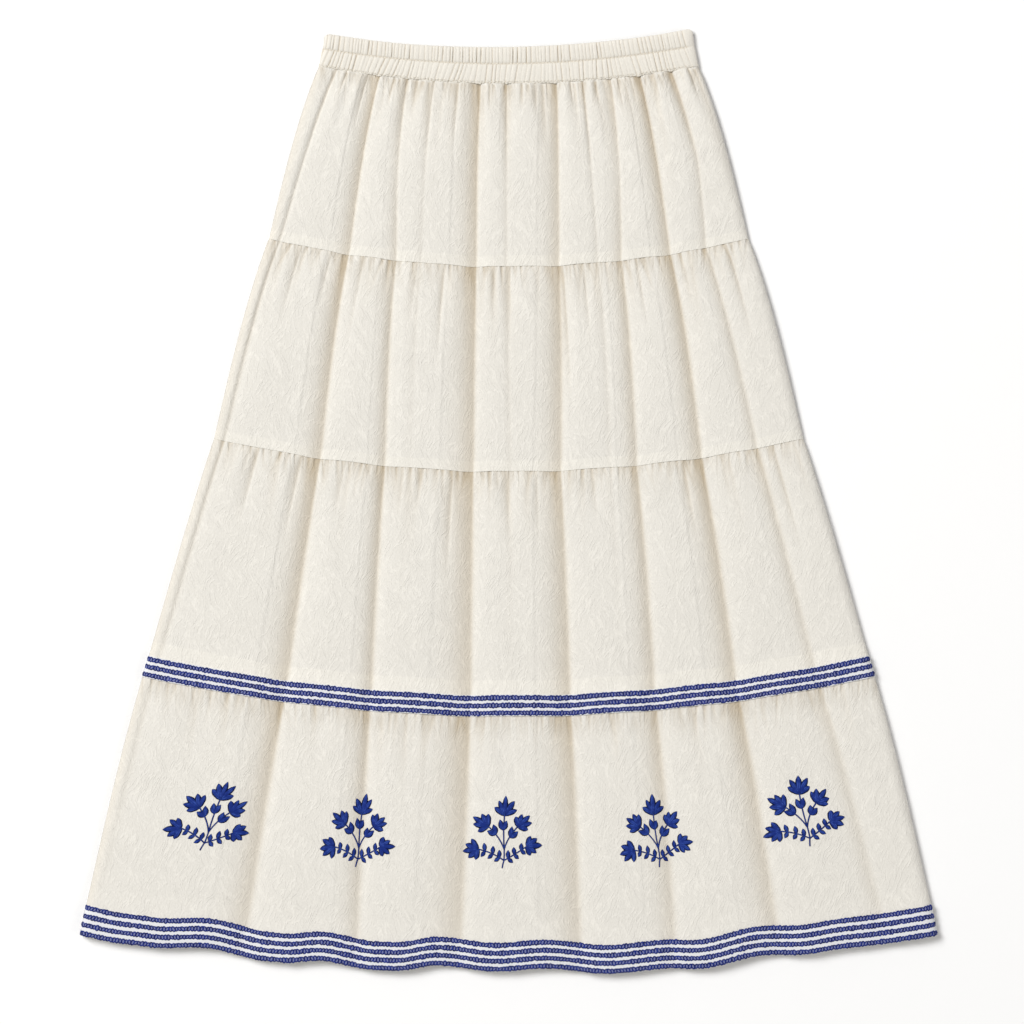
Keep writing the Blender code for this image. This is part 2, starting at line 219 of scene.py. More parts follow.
def across(q, drop):
    """Where the column q runs at one drop, beside the long folds."""
    places = [-1.0] + [float(np.interp(drop, FOLD_ROWS, fold.at)) for fold in FOLDS] + [1.0]
    return np.interp(q, [-1.0] + [fold.at[3] for fold in FOLDS] + [1.0], places)


def knots(count, seed):
    """Places and heights of count uneven gathers, high and low by turns, as in the part's source."""
    wander = random.Random(seed)
    step = 1.94 / (2 * count)
    pairs = []
    for k in range(2 * count + 1):
        at = -0.97 + step * (k + wander.uniform(-0.25, 0.25))
        height = (1.0 if k % 2 else -1.0) * wander.uniform(0.6, 1.0)
        pairs.append((at, height))
    return [-1.0] + [at for at, _ in pairs] + [1.0], [0.0] + [height for _, height in pairs] + [0.0]


def rounded(q, places, heights):
    """Heights between knots, on soft curves."""
    places = np.asarray(places)
    heights = np.asarray(heights)
    k = np.clip(np.searchsorted(places, q, side="right") - 1, 0, len(places) - 2)
    t = smooth((q - places[k]) / (places[k + 1] - places[k]))
    return heights[k] * (1.0 - t) + heights[k + 1] * t


def creases(u, below, tier):
    """How deep the small creases under a seam are, in millimetres: uneven in place, length and slant."""
    wander = random.Random(tier.seed + 500)
    total = np.zeros_like(u * below)
    place_at = -0.985
    wide = half_width(ROW[tier.top].drop + np.clip(below, 0.0, None))
    while place_at < 0.985:
        strong = wander.random() ** 2.2
        place_at += (0.4 + 1.1 * wander.random() + 0.9 * strong) * 2.0 / tier.fine
        reach = tier.fine_reach * (0.25 + 1.9 * strong) * wander.uniform(0.7, 1.4)
        slant = wander.uniform(-0.10, 0.10)
        offset = (u - place_at) * wide - slant * below
        spread = (1.5 + 1.2 * strong) * (1.0 + 0.9 * np.clip(below / reach, 0.0, 2.0))
        left = np.exp(-np.abs(offset / spread) ** 1.3)
        line = np.where(offset < 0.0, left, np.exp(-(offset / (0.55 * spread)) ** 2))
        fade = np.exp(-(np.clip(below, 0.0, None) / reach) ** 1.4)
        total += tier.fine_height * (0.35 + 1.0 * strong) * line * fade
    return total


def level(drop):
    """The drop whose heights hold here: across a braid they stay those of its middle line."""
    held = np.asarray(drop, float)
    for braid in BRAIDS:
        middle = (braid.top + braid.bottom) / 2
        stops = [braid.top - LEVEL_RAMP, braid.top - 1.0, braid.bottom + 1.0, braid.bottom + LEVEL_RAMP]
        inside = (held > stops[0]) & (held < stops[3])
        held = np.where(inside, np.interp(held, stops, [stops[0], middle, middle, stops[3]]), held)
    return held


def braid_lift(drop):
    lift = np.zeros_like(drop)
    for braid in BRAIDS:
        away = np.maximum(np.maximum(braid.top - 1.0 - drop, drop - braid.bottom - 1.0), 0.0)
        lift = np.maximum(lift, BRAID_LIFT * np.clip(1.0 - away / LIFT_RAMP, 0.0, 1.0))
    return lift


def from_side(u, drop):
    """How far a place lies inward from its nearer side."""
    return (1.0 - np.abs(u)) * half_width(drop)


def domed(part):
    """A quarter round, from 0 at part 0 to 1 at part 1."""
    return np.sqrt(np.clip(1.0 - (1.0 - part) ** 2, 0.0, 1.0))


def roll(u, drop, width=SIDE_ROLL):
    """How far the cloth has risen out of its side fold, from 0 to 1."""
    return domed(np.clip(from_side(u, drop) / width, 0.0, 1.0))


def ripple(x, y, seed, size):
    """Soft uneven swells of the cloth, from -1 to 1, about size millimetres across."""
    wander = random.Random(seed)
    total = np.zeros_like(x)
    for _ in range(9):
        turn = wander.uniform(0.0, math.pi)
        long = size * wander.uniform(0.7, 1.6)
        phase = wander.uniform(0.0, 2 * math.pi)
        bend = wander.uniform(0.2, 0.6)
        along = (x * math.cos(turn) + y * math.sin(turn)) * 2 * math.pi / long
        over = (y * math.cos(turn) - x * math.sin(turn)) * 2 * math.pi / (1.7 * long)
        total += np.sin(along + phase + 2.0 * bend * np.sin(over + 2.0 * phase))
    return total / 4.5


def covered(tier):
    """How far below its seam a tier comes out, where a braid covers it."""
    return COVERED if tier.starts else 0.0


def gather_zone(tier, below):
    """1 where a tier's broad gathers stand, 0 well above and below them."""
    past = below - tier.starts
    return smooth(1.0 + past / GATHER_ONSET) * smooth(1.0 - past / tier.reach)


def front_height(u, q, drop, tier):
    """Height of a front tier's outer face. All of u, q and drop are grids."""
    held = level(drop)
    top = ROW[tier.top].drop
    part = np.clip((held - top) / (ROW[tier.bottom].drop - top), 0.0, 1.0)
    crest = row_value("crest", held) + tier.puff * np.sin(math.pi * part ** 0.75)
    opened = openness(u, held)
    calm = 0.35 + 0.65 * opened
    height = TROUGH_FLOOR + (crest - TROUGH_FLOOR) * opened * pleated(u, held, tier)
    broad = tier.gather * gather_zone(tier, drop - top) * rounded(q, *knots(FRONT_GATHERS, tier.seed))
    out_by = drop - top - covered(tier)
    swell = 0.5 * tier.fine_height * np.exp(-np.clip(out_by, 0.0, None) / 25.0)
    fine = (swell - creases(u, out_by, tier)) * smooth((out_by + 3.0) / 3.0)
    x = u * half_width(drop)
    uneven = 0.28 * ripple(x, drop, tier.seed, 70.0) + 0.12 * ripple(x, drop, tier.seed + 1, 26.0)
    height += (broad + fine + uneven) * calm
    return SIDE_TOP + (np.maximum(height, LOWEST_FACE) - SIDE_TOP) * roll(u, drop) + braid_lift(drop)


def corner_drop(u, drop):
    """The drop of a place when the two upper corners of the waist are rounded off."""
    inward = from_side(u, drop)
    across_corner = np.clip(CORNER_RADIUS - inward, 0.0, CORNER_RADIUS)
    arc = CORNER_RADIUS - np.sqrt(CORNER_RADIUS ** 2 - across_corner ** 2)
    return np.where((drop < CORNER_RADIUS) & (inward < CORNER_RADIUS), np.maximum(drop, arc), drop)


# How far the hem is lifted at each place across, in millimetres, where it waves over the long folds
HEM_WAVE_AT = [-1.0, -0.93, -0.84, -0.70, -0.57, -0.53, -0.435, -0.32, -0.27, -0.165, -0.03,
               0.08, 0.24, 0.36, 0.45, 0.585, 0.70, 0.77, 0.90, 1.0]
HEM_WAVE = [0.0, -1.0, 0.0, 6.2, 0.8, 1.0, 5.6, 0.5, 0.8, 6.9, 2.6,
            5.1, -1.2, 0.6, -1.7, 4.6, 1.2, 2.0, 0.4, 0.0]
HEM_WAVE_TOP = 735.0
HEM_WAVE_REACH = 55.0


def place(u, drop, height):
    """Points in metres, as an array of three columns."""
    drop = corner_drop(u, drop)
    held = level(drop)
    opened = sum(openness(u + step, held) for step in (-0.036, -0.018, 0.0, 0.018, 0.036)) / 5
    sag = np.maximum(row_value("sag", drop), 0.0) * (opened - 1.0)
    lifted = rounded(u, HEM_WAVE_AT, HEM_WAVE) * smooth((drop - HEM_WAVE_TOP) / HEM_WAVE_REACH)
    x = half_width(drop) * u
    y = WAIST_Y - drop + row_value("rise", drop) * u * u + row_value("lean", drop) * u + sag + lifted
    return np.stack([x * MM, y * MM, height * MM], -1)


# Meshes

def grid_faces(rows, columns):
    i, j = np.meshgrid(np.arange(rows - 1), np.arange(columns - 1), indexing="ij")
    a = (i * columns + j).ravel()
    return np.stack([a, a + columns, a + columns + 1, a + 1], -1)


def linked(name, data):
    """A new object in the scene."""
    made = bpy.data.objects.new(name, data)
    bpy.context.scene.collection.objects.link(made)
    return made


def make_mesh(name, points, faces, uv=None):
    """A smooth mesh of quads. uv has one place on the cloth for each point, in metres."""
    mesh = bpy.data.meshes.new(name)
    mesh.vertices.add(len(points))
    mesh.vertices.foreach_set("co", np.asarray(points, np.float32).ravel())
    mesh.loops.add(faces.size)
    mesh.loops.foreach_set("vertex_index", faces.astype(np.int32).ravel())
    mesh.polygons.add(len(faces))
    mesh.polygons.foreach_set("loop_start", np.arange(0, faces.size, 4, dtype=np.int32))
    mesh.polygons.foreach_set("use_smooth", np.ones(len(faces), bool))
    mesh.update(calc_edges=True)
    if uv is not None:
        layer = mesh.uv_layers.new(name="Cloth")
        layer.data.foreach_set("uv", np.asarray(uv, np.float32)[faces.ravel()].ravel())
    return linked(name, mesh)


def shell(name, points, uv, thickness, grows):
    """A thin shell over a grid of points (rows, columns, 3)."""
    rows, columns = points.shape[:2]
    piece = make_mesh(name, points.reshape(-1, 3), grid_faces(rows, columns), uv.reshape(-1, 2))
    wall = piece.modifiers.new("Wall", "SOLIDIFY")
    wall.thickness = thickness * MM
    wall.offset = grows
    wall.use_even_offset = False
    return piece


def keep(piece, name, values):
    """Keeps one number from 0 to 1 for each point of a piece, for its material."""
    layer = piece.data.attributes.new(name, "FLOAT", "POINT")
    layer.data.foreach_set("value", np.clip(values, 0.0, 1.0).astype(np.float32).ravel())


def row_drops(start, end, first, growth, widest):
    """Drops from start to end, first apart at the start, wider apart lower down and close at the end."""
    last = [end - 0.9, end - 0.3, end]
    end = end - 2.2
    drops = [start]
    step = first
    while drops[-1] + step < end:
        drops.append(drops[-1] + step)
        step = min(widest, step * growth)
    if end - drops[-1] < 0.5 * step and len(drops) > 2:
        drops.pop()
    return np.array(drops + [end] + last)


# Cloth pieces

TIER_COLUMNS = 600


def tier_grid(drops, columns):
    """Grids of q, u and drop. The columns follow the long folds and stand closer together at the sides."""
    q = np.linspace(-1.0, 1.0, columns)
    edge = 0.012
    q = np.sign(q) * (1.0 - (1.0 - np.abs(q)) * (1.0 - edge) - edge * (1.0 - np.abs(q)) ** 4)
    q_grid = np.tile(q, (len(drops), 1))
    drop_grid = np.tile(drops[:, None], (1, columns))
    u_grid = np.stack([across(q, d) for d in drops])
    return q_grid, u_grid, drop_grid


def cloth_uv(u, drop):
    return np.stack([u * half_width(drop) * MM, -drop * MM], -1)


def ticks(u, below, tier):
    """Short narrow creases close together where a tier is sewn into its seam."""
    wander = random.Random(tier.seed + 900)
    total = np.zeros_like(u * below)
    wide = half_width(ROW[tier.top].drop)
    place_at = -0.99
    while place_at < 0.99:
        strong = wander.random() ** 2
        place_at += wander.uniform(3.0, 8.0) / wide
        reach = 4.0 + 14.0 * strong
        offset = (u - place_at) * wide - wander.uniform(-0.25, 0.25) * below
        line = np.exp(-(offset / (1.0 + 0.5 * strong)) ** 2)
        total += (0.35 + 0.75 * strong) * line * np.exp(-(np.clip(below, 0.0, None) / reach) ** 1.5)
    return total


def puffed(u):
    """How far each pleat of tier 1 pushes up over the waist seam."""
    just_below = np.full_like(u, ROW["waist seam"].drop + 4.0)
    return 2.2 * smooth(openness(u, just_below) * pleated(u, just_below, TIERS[0]) / 0.85)


def sewn_in(height, u, q, below, tier):
    """A front tier's height with its upper edge brought to what it is sewn to."""
    if tier is TIERS[0]:
        part = np.clip((below + puffed(u) + 0.3) / WAIST_ROUND, 0.0, 1.0)
        low = np.minimum(height, UNDER_BAND) - 0.4
        return low + (height - low) * domed(part)
    if tier.starts:
        return height
    seam = np.full_like(u, ROW[tier.top].drop)
    above = TIERS[TIERS.index(tier) - 1]
    gap = front_height(u, q, seam, above) - SEAM_STEP - front_height(u, q, seam, tier)
    height = height + gap * np.exp(-(np.clip(below, 0.0, None) / SEAM_BLEND) ** 1.3)
    return height - TUCK_STEP * smooth(-below / TUCK) * roll(u, seam + below)


def build_tier_front(tier):
    top = ROW[tier.top].drop
    tuck = WAIST_TUCK if tier is TIERS[0] else TUCK
    drops = row_drops(top - tuck, ROW[tier.bottom].drop, 0.8, 1.12, 7.5)
    q, u, drop = tier_grid(drops, TIER_COLUMNS)
    held = level(drop)
    below = drop - top
    out_by = below - covered(tier)
    height = sewn_in(front_height(u, q, drop, tier), u, q, below, tier)
    standing = openness(u, held) * pleated(u, held, tier)
    tick = ticks(u, out_by, tier) * (out_by > -0.6)
    height = height - tick * (0.35 + 0.65 * standing)
    piece = shell(tier.name + "_front_cloth", place(u, drop, height), cloth_uv(u, drop), SHELL, -1)
    # Painted shade kept for the material: in the folds where they are lit least, at the left side fold, and in
    # the small creases and ticks below a seam, weaker lower down
    fade = 0.54 + 0.48 * np.exp(-np.clip(below, 0.0, None) / 42.0)
    lit = openness(u, held, band_of_shade) * pleated(u, held, tier, band_of_shade)
    left_side_shade = 0.24 * np.exp(-((1.0 + u) * half_width(drop) / 6.0) ** 2)
    crease_shade = 0.26 * creases(u, out_by, tier) / tier.fine_height + 0.40 * tick
    keep(piece, "PaintedShade", (1.0 - lit) * fade + left_side_shade + crease_shade * (out_by > 0.0))
    keep(piece, "Gather", np.exp(-(np.clip(out_by, 0.0, None) / 13.0) ** 1.2) * (out_by > -1.0))
    return piece


# Ridges of the back, as in the part's source
Ridge = namedtuple("Ridge", "at half_width height")
RIDGES = [
    Ridge(-0.86, 0.045, 0.9),
    Ridge(-0.55, 0.035, 1.0),
    Ridge(-0.31, 0.050, 0.8),
    Ridge(-0.04, 0.040, 1.0),
    Ridge(0.27, 0.045, 0.9),
    Ridge(0.52, 0.035, 0.8),
    Ridge(0.76, 0.040, 1.0),
    Ridge(0.93, 0.025, 0.7),
]
BACK_RIDGE = 2.4
BACK_COLUMNS = 240


def back_height(u, q, drop, tier):
    """Height of a back tier's outer face, which is 0 where it rests."""
    held = level(drop)
    ridge = np.zeros_like(u)
    for r in RIDGES:
        ridge = np.maximum(ridge, r.height * smooth(1.0 - np.abs(u - r.at) / r.half_width))
    clear = smooth((openness(u, held) - 0.45) / 0.35)
    sides = smooth(from_side(u, drop) / SIDE_ROLL)
    below = drop - ROW[tier.top].drop
    broad = 1.0 + rounded(q, *knots(BACK_GATHERS, tier.seed))
    gathered = 0.4 * tier.gather * gather_zone(tier, below) * broad
    fine = np.clip(0.9 * np.exp(-np.clip(below, 0.0, None) / 22.0) - creases(u, below, tier), 0.0, 1.0)
    quiet = smooth(np.minimum(below, ROW[tier.bottom].drop - drop) / 40.0 + 0.35)
    height = np.maximum(BACK_RIDGE * ridge * quiet, np.maximum(gathered, fine))
    return height * clear * sides + braid_lift(drop)


def build_tier_back(tier):
    end = ROW[tier.bottom].drop - (0.0 if tier.bottom == "hem" else SEAM_CLEAR)
    drops = row_drops(ROW[tier.top].drop + SEAM_CLEAR, end, 2.0, 1.15, 12.0)
    q, u, drop = tier_grid(drops, BACK_COLUMNS)
    points = place(u, drop, back_height(u, q, drop, tier))
    return shell(tier.name + "_back_cloth", points, cloth_uv(u, drop), SHELL, 1)


# Waistband

BAND_COLUMNS = 960
BAND_BACK_COLUMNS = 420
STITCH_PITCH = 3.1
WAIST_STITCHES = (29.9, 32.0)
UPPER_RIBS = 96
LOWER_RIBS = 82


def ribs(u, count, seed, arch):
    """Rounded ribs between uneven valleys: 0 in a deep valley and up to 1 on a rib."""
    wander = random.Random(seed)
    widths = np.array([wander.uniform(0.62, 1.38) for k in range(count)])
    places = -1.0 + 2.0 * np.concatenate([[0.0], np.cumsum(widths) / widths.sum()])
    valleys = np.array([0.72 * wander.random() ** 0.8 for k in range(count + 1)])
    tops = np.array([wander.uniform(0.8, 1.0) for k in range(count)])
    u = np.clip(u, -1.0, 0.999999)
    k = np.clip(np.searchsorted(places, u, side="right") - 1, 0, count - 1)
    t = (u - places[k]) / (places[k + 1] - places[k])
    floor = valleys[k] * (1.0 - t) + valleys[k + 1] * t
    bow = np.clip(1.0 - np.abs(2.0 * t - 1.0) ** 3.6, 0.0, 1.0) ** arch
    return floor + (tops[k] - floor) * bow


def band_relief(u, drop):
    """Height of the waistband's ribs and channels over its lowest face, each from 0 to about 1."""
    line = ROW["channel line"].drop
    end = ROW["waist seam"].drop
    lean = 0.012 * smooth((u - 0.1) / 0.6) * (drop / line - 0.5)
    upper = ribs(u - lean + 0.002 * np.sin(31.0 * u) * (drop / line), UPPER_RIBS, 71, 0.75)
    slant = 0.024 * np.cos(1.9 * (u + 0.45)) + 0.010 * np.sin(17.0 * u)
    lower = ribs(u + slant * ((drop - line) / (end - line) - 0.5), LOWER_RIBS, 83, 0.70)
    share = smooth((drop - line + 0.6) / 1.2)
    rib = upper * (1.0 - share) + lower * share
    part = np.where(drop <= line, drop / line, (drop - line) / (end - line))
    channel = np.sin(math.pi * np.clip(part, 0.0, 1.0)) ** 0.7
    stitched = 0.75 * np.exp(-((drop - line) / 0.8) ** 2) + 0.5 * np.exp(-((drop - end) / 1.2) ** 2)
    return 0.5 + (rib - 0.5) * (1.0 - np.clip(stitched, 0.0, 1.0)), channel


def plain_corner(u):
    """1 where the waistband lies plain at its right end."""
    return smooth((u - 0.955) / 0.02)


def band_grid(drops, columns):
    inner = np.linspace(-0.985, 0.985, columns - 12)
    u = np.concatenate([np.linspace(-1.0, -0.988, 6), inner, np.linspace(0.988, 1.0, 6)])
    return np.tile(u, (len(drops), 1)), np.tile(drops[:, None], (1, columns))


def band_face(u, drop):
    """Height of the waistband's outer face, its ribs from 0 to 1, and how far its top edge is pushed up."""
    rib, channel = band_relief(u, drop)
    plain = plain_corner(u)
    rib = rib * (1.0 - plain) + 0.85 * plain
    stands = BAND_RISE - BAND_WAVE + 2.1 * BAND_WAVE * rib + 0.9 * channel
    edge = np.sqrt(np.clip(drop / 2.2, 0.0, 1.0))
    height = BAND_SIDE_TOP + stands * roll(u, drop, BAND_ROLL) * (0.35 + 0.65 * edge)
    higher = (1.2 + 1.2 * smooth((-u - 0.55) / 0.45) + 0.6 * smooth((u - 0.8) / 0.2)) * np.exp(-drop / 5.0)
    ragged = (0.7 * (rib - 0.6) + higher) * np.exp(-drop / 3.0)
    return height, rib, ragged


def band_pull(u, drop):
    """How far the pleats below push the waistband's lower edge up, in millimetres."""
    return 0.8 * puffed(u) * np.exp(-(ROW["waist seam"].drop - drop) / 2.6)


def build_band_front():
    end = ROW["waist seam"].drop
    line = ROW["channel line"].drop
    drops = np.concatenate([
        [0.0, 0.25, 0.7, 1.3, 2.2], np.linspace(3.4, 12.0, 7), [12.7, 13.2, line, 14.0, 14.6],
        np.linspace(15.8, 28.6, 8), [29.4, 29.9, 30.4, 31.1, 31.6, 32.0, end - 0.1]])
    u, drop = band_grid(drops, BAND_COLUMNS)
    height, rib, ragged = band_face(u, drop)
    points = place(u, drop, height)
    points[..., 1] += (ragged + band_pull(u, drop)) * MM
    piece = shell("waistband_front_cloth", points, cloth_uv(u, drop), BAND_SHELL, -1)
    # Painted shade kept for the material: dark dashes along the stitched rows, a dark line along the channel
    # line, and darkness in the valleys between the ribs
    dots = np.clip(np.sin(u * half_width(drop) * 2 * math.pi / STITCH_PITCH) + 0.2, 0.0, 1.0)
    uneven = 0.25 + 0.75 * smooth(0.5 + 0.9 * ripple(60.0 * u, drop, 5, 1.4))
    stitch_line_shade = 0.30 * np.exp(-((drop - line) / 0.5) ** 2)
    for stitched in WAIST_STITCHES:
        stitch_line_shade = stitch_line_shade + 0.95 * np.exp(-((drop - stitched) / 0.55) ** 2) * uneven * dots
    valleys = 1.25 * np.clip(1.12 - 1.35 * rib, 0.0, 1.0) ** 1.4
    keep(piece, "PaintedShade", valleys + stitch_line_shade * (1.0 - 0.6 * plain_corner(u)))
    return piece


def build_band_back():
    drops = np.concatenate([
        [0.0, 1.0, 2.4], np.linspace(4.5, 11.5, 4), [13.0, 14.4], np.linspace(17.0, 29.0, 5),
        [31.2, ROW["waist seam"].drop - SEAM_CLEAR]])
    u, drop = band_grid(drops, BAND_BACK_COLUMNS)
    rib, channel = band_relief(u, drop)
    height = 2.0 * BAND_WAVE * (1.0 - 0.8 * rib - 0.2 * channel) * roll(u, drop, BAND_ROLL)
    points = place(u, drop, np.maximum(height, 0.0))
    return shell("waistband_back_cloth", points, cloth_uv(u, drop), BAND_SHELL, 1)


# Blue rows of the braids

ROW_PITCH = {"trim_upper": 6.70, "trim_hem": 6.95}


def row_centres(braid):
    middle = (braid.top + braid.bottom) / 2
    return [middle + ROW_PITCH[braid.name] * (k - (braid.rows - 1) / 2) for k in range(braid.rows)]


# Materials

IVORY = (0.762, 0.735, 0.678, 1.0)
IVORY_THICK = (0.797, 0.768, 0.703, 1.0)
# Painted shade: in folds, creases and hollows the cotton's colour goes towards itself times this warm tint
PAINTED_SHADE_TINT = (0.712, 0.628, 0.508, 1.0)
IVORY_BAND = (0.772, 0.737, 0.668, 1.0)
TAPE_WHITE = (0.762, 0.768, 0.788, 1.0)
UNDER_BLUE = (0.018, 0.042, 0.290, 1.0)
NAVY = (0.003, 0.009, 0.092, 1.0)
ROYAL = (0.011, 0.033, 0.265, 1.0)
SATIN_BLUE = (0.008, 0.026, 0.200, 1.0)
# Painted sheen and painted shade of the satin stitch
SATIN_SHEEN = (0.036, 0.082, 0.370, 1.0)
SATIN_EDGE_SHADE = (0.002, 0.006, 0.045, 1.0)
IVORY_THREAD = (0.780, 0.740, 0.660, 1.0)


def group(name, inputs, outputs):
    """A new shader node group with named sockets. inputs are (name, kind, value), outputs (name, kind)."""
    tree = bpy.data.node_groups.new(name, "ShaderNodeTree")
    for label, kind, value in inputs:
        socket = tree.interface.new_socket(label, in_out="INPUT", socket_type=kind)
        if value is not None:
            socket.default_value = value
    for label, kind in outputs:
        tree.interface.new_socket(label, in_out="OUTPUT", socket_type=kind)
    return tree, tree.nodes.new("NodeGroupInput"), tree.nodes.new("NodeGroupOutput")


def feed(tree, socket, value):
    """Links another socket to this one, or sets its value."""
    if isinstance(value, bpy.types.NodeSocket):
        tree.links.new(value, socket)
    else:
        socket.default_value = value


def add(tree, kind, inputs=None, **settings):
    """Adds a node, sets its settings, and links or sets its inputs."""
    node = tree.nodes.new(kind)
    for key, value in settings.items():
        setattr(node, key, value)
    for key, value in (inputs or {}).items():
        feed(tree, node.inputs[key], value)
    return node


def maths(tree, operation, *values):
    return add(tree, "ShaderNodeMath", dict(enumerate(values)), operation=operation).outputs[0]


def ramp(tree, value, low, high, to_low=0.0, to_high=1.0, curve="SMOOTHSTEP"):
    inputs = {"Value": value, "From Min": low, "From Max": high, "To Min": to_low, "To Max": to_high}
    return add(tree, "ShaderNodeMapRange", inputs, interpolation_type=curve).outputs["Result"]


def mix_colour(tree, share, a, b):
    node = add(tree, "ShaderNodeMix", data_type="RGBA")
    for name, kind, value in (("Factor", "VALUE", share), ("A", "RGBA", a), ("B", "RGBA", b)):
        feed(tree, next(s for s in node.inputs if s.name == name and s.type == kind), value)
    return next(s for s in node.outputs if s.type == "RGBA")


def scaled(tree, vector, per_x, per_y):
    """A place on the cloth, counted in threads or creases across and down."""
    node = add(tree, "ShaderNodeVectorMath", {0: vector, 1: (per_x, per_y, 0.0)}, operation="MULTIPLY")
    return node.outputs[0]


def noise(tree, vector, scale, detail=1.0, rough=0.5):
    return add(tree, "ShaderNodeTexNoise", {
        "Vector": vector, "Scale": scale, "Detail": detail, "Roughness": rough}, noise_dimensions="2D")


def solid_noise(tree, scale, detail, rough=0.5):
    """Noise that runs through the whole object."""
    where = add(tree, "ShaderNodeTexCoord").outputs["Object"]
    return add(tree, "ShaderNodeTexNoise", {
        "Vector": where, "Scale": scale, "Detail": detail, "Roughness": rough}).outputs["Fac"]


def fine_lines(tree, vector, wide, long, middle, steep):
    """Thin uneven lines along Y on noise wide across and long down, in metres: 1 on a line, 0 beside it."""
    grain = noise(tree, scaled(tree, vector, 1 / wide, 1 / long), 1.0).outputs["Fac"]
    off = maths(tree, "ABSOLUTE", maths(tree, "SUBTRACT", grain, middle))
    return maths(tree, "MAXIMUM", maths(tree, "MULTIPLY_ADD", off, -steep, 1.0), 0.0)


def relief(tree, shader, high, strength, distance):
    bump = add(tree, "ShaderNodeBump", {"Height": high, "Strength": strength, "Distance": distance})
    tree.links.new(bump.outputs["Normal"], shader.inputs["Normal"])


def uneven_drop(tree, uv, scale, wander):
    """The drop, pushed up and down by wander in all, so that no edge on the cloth is ruled."""
    down = maths(tree, "MULTIPLY", add(tree, "ShaderNodeSeparateXYZ", {0: uv}).outputs["Y"], -1.0 / MM)
    push = maths(tree, "MULTIPLY_ADD", noise(tree, uv, scale).outputs["Fac"], wander, -wander / 2)
    return maths(tree, "ADD", down, push)


def strongest(tree, masks):
    highest = masks[0]
    for mask in masks[1:]:
        highest = maths(tree, "MAXIMUM", highest, mask)
    return highest


# Heights on the cotton's surface, in metres, and how much each of them changes its tone. The fine creases get
# a painted highlight, the gather lines painted shade.
CREASE_DEEP = 0.00021
GRAIN_DEEP = 0.00018
THREAD_DEEP = 0.00023
GATHER_DEEP = -0.00040
CREASE_HIGHLIGHT_TONE = 0.075
THREAD_TONE = 0.13
GATHER_SHADE_TONE = -0.06
GATHER_SHADE = 0.34

Slant = namedtuple("Slant", "turn wide long middle")
SLANTS = [Slant(24.0, 0.0040, 0.020, 0.52), Slant(-27.0, 0.0046, 0.023, 0.48)]


def creped_group():
    """Plain weave with fine creases on two slants, in patches: a height in metres, a tone and the creases."""
    tree, given, out = group(
        "Creped weave",
        [("Vector", "NodeSocketVector", None), ("Crease", "NodeSocketFloat", 1.0)],
        [("Height", "NodeSocketFloat"), ("Tone", "NodeSocketFloat"), ("Creases", "NodeSocketFloat")])
    where = given.outputs["Vector"]
    bend = noise(tree, where, 60.0).outputs["Color"]
    centred = add(tree, "ShaderNodeVectorMath", {0: bend, 1: (0.5, 0.5, 0.5)}, operation="SUBTRACT")
    pushed = add(tree, "ShaderNodeVectorMath", {0: centred.outputs[0], "Scale": 0.006}, operation="SCALE")
    warped = add(tree, "ShaderNodeVectorMath", {0: where, 1: pushed.outputs[0]}, operation="ADD").outputs[0]
    strokes = []
    for slant in SLANTS:
        turned = add(tree, "ShaderNodeVectorRotate", {
            "Vector": warped, "Angle": math.radians(slant.turn)}, rotation_type="Z_AXIS").outputs[0]
        strokes.append(fine_lines(tree, turned, slant.wide, slant.long, slant.middle, 15.0))
    patch = ramp(tree, noise(tree, where, 42.0).outputs["Fac"], 0.36, 0.62, 0.2, 1.0)
    first = maths(tree, "MULTIPLY", strokes[0], patch)
    second = maths(tree, "MULTIPLY", strokes[1], maths(tree, "SUBTRACT", 1.2, patch))
    creases_mask = maths(tree, "ADD", first, second)
    grain = noise(tree, scaled(tree, warped, 1 / 0.0019, 1 / 0.012), 1.0).outputs["Fac"]
    threads = noise(tree, scaled(tree, where, 1.0, 0.6), 900.0).outputs["Fac"]
    high = maths(tree, "MULTIPLY", maths(tree, "MULTIPLY", creases_mask, CREASE_DEEP), given.outputs["Crease"])
    high = maths(tree, "MULTIPLY_ADD", grain, GRAIN_DEEP, high)
    high = maths(tree, "MULTIPLY_ADD", threads, THREAD_DEEP, high)
    tree.links.new(high, out.inputs["Height"])
    tree.links.new(maths(tree, "SUBTRACT", threads, 0.5), out.inputs["Tone"])
    tree.links.new(creases_mask, out.inputs["Creases"])
    return tree


def gathers_group():
    """Short uneven lines running down from a gathered seam: a height in metres and a shade."""
    tree, given, out = group(
        "Seam gathers",
        [("Vector", "NodeSocketVector", None), ("Gather", "NodeSocketFloat", 0.0)],
        [("Height", "NodeSocketFloat"), ("Shade", "NodeSocketFloat")])
    line = fine_lines(tree, given.outputs["Vector"], 0.0075, 0.060, 0.5, 8.0)
    line = maths(tree, "MULTIPLY", line, given.outputs["Gather"])
    tree.links.new(maths(tree, "MULTIPLY", line, GATHER_DEEP), out.inputs["Height"])
    tree.links.new(line, out.inputs["Shade"])
    return tree


def shader_of(name, roughness, sheen, shine=0.25):
    material = bpy.data.materials.new(name)
    material.use_nodes = True
    shader = material.node_tree.nodes["Principled BSDF"]
    shader.inputs["Roughness"].default_value = roughness
    shader.inputs["Specular IOR Level"].default_value = shine
    shader.inputs["Sheen Weight"].default_value = sheen
    return material, material.node_tree, shader


CREPED = creped_group()
GATHERS = gathers_group()


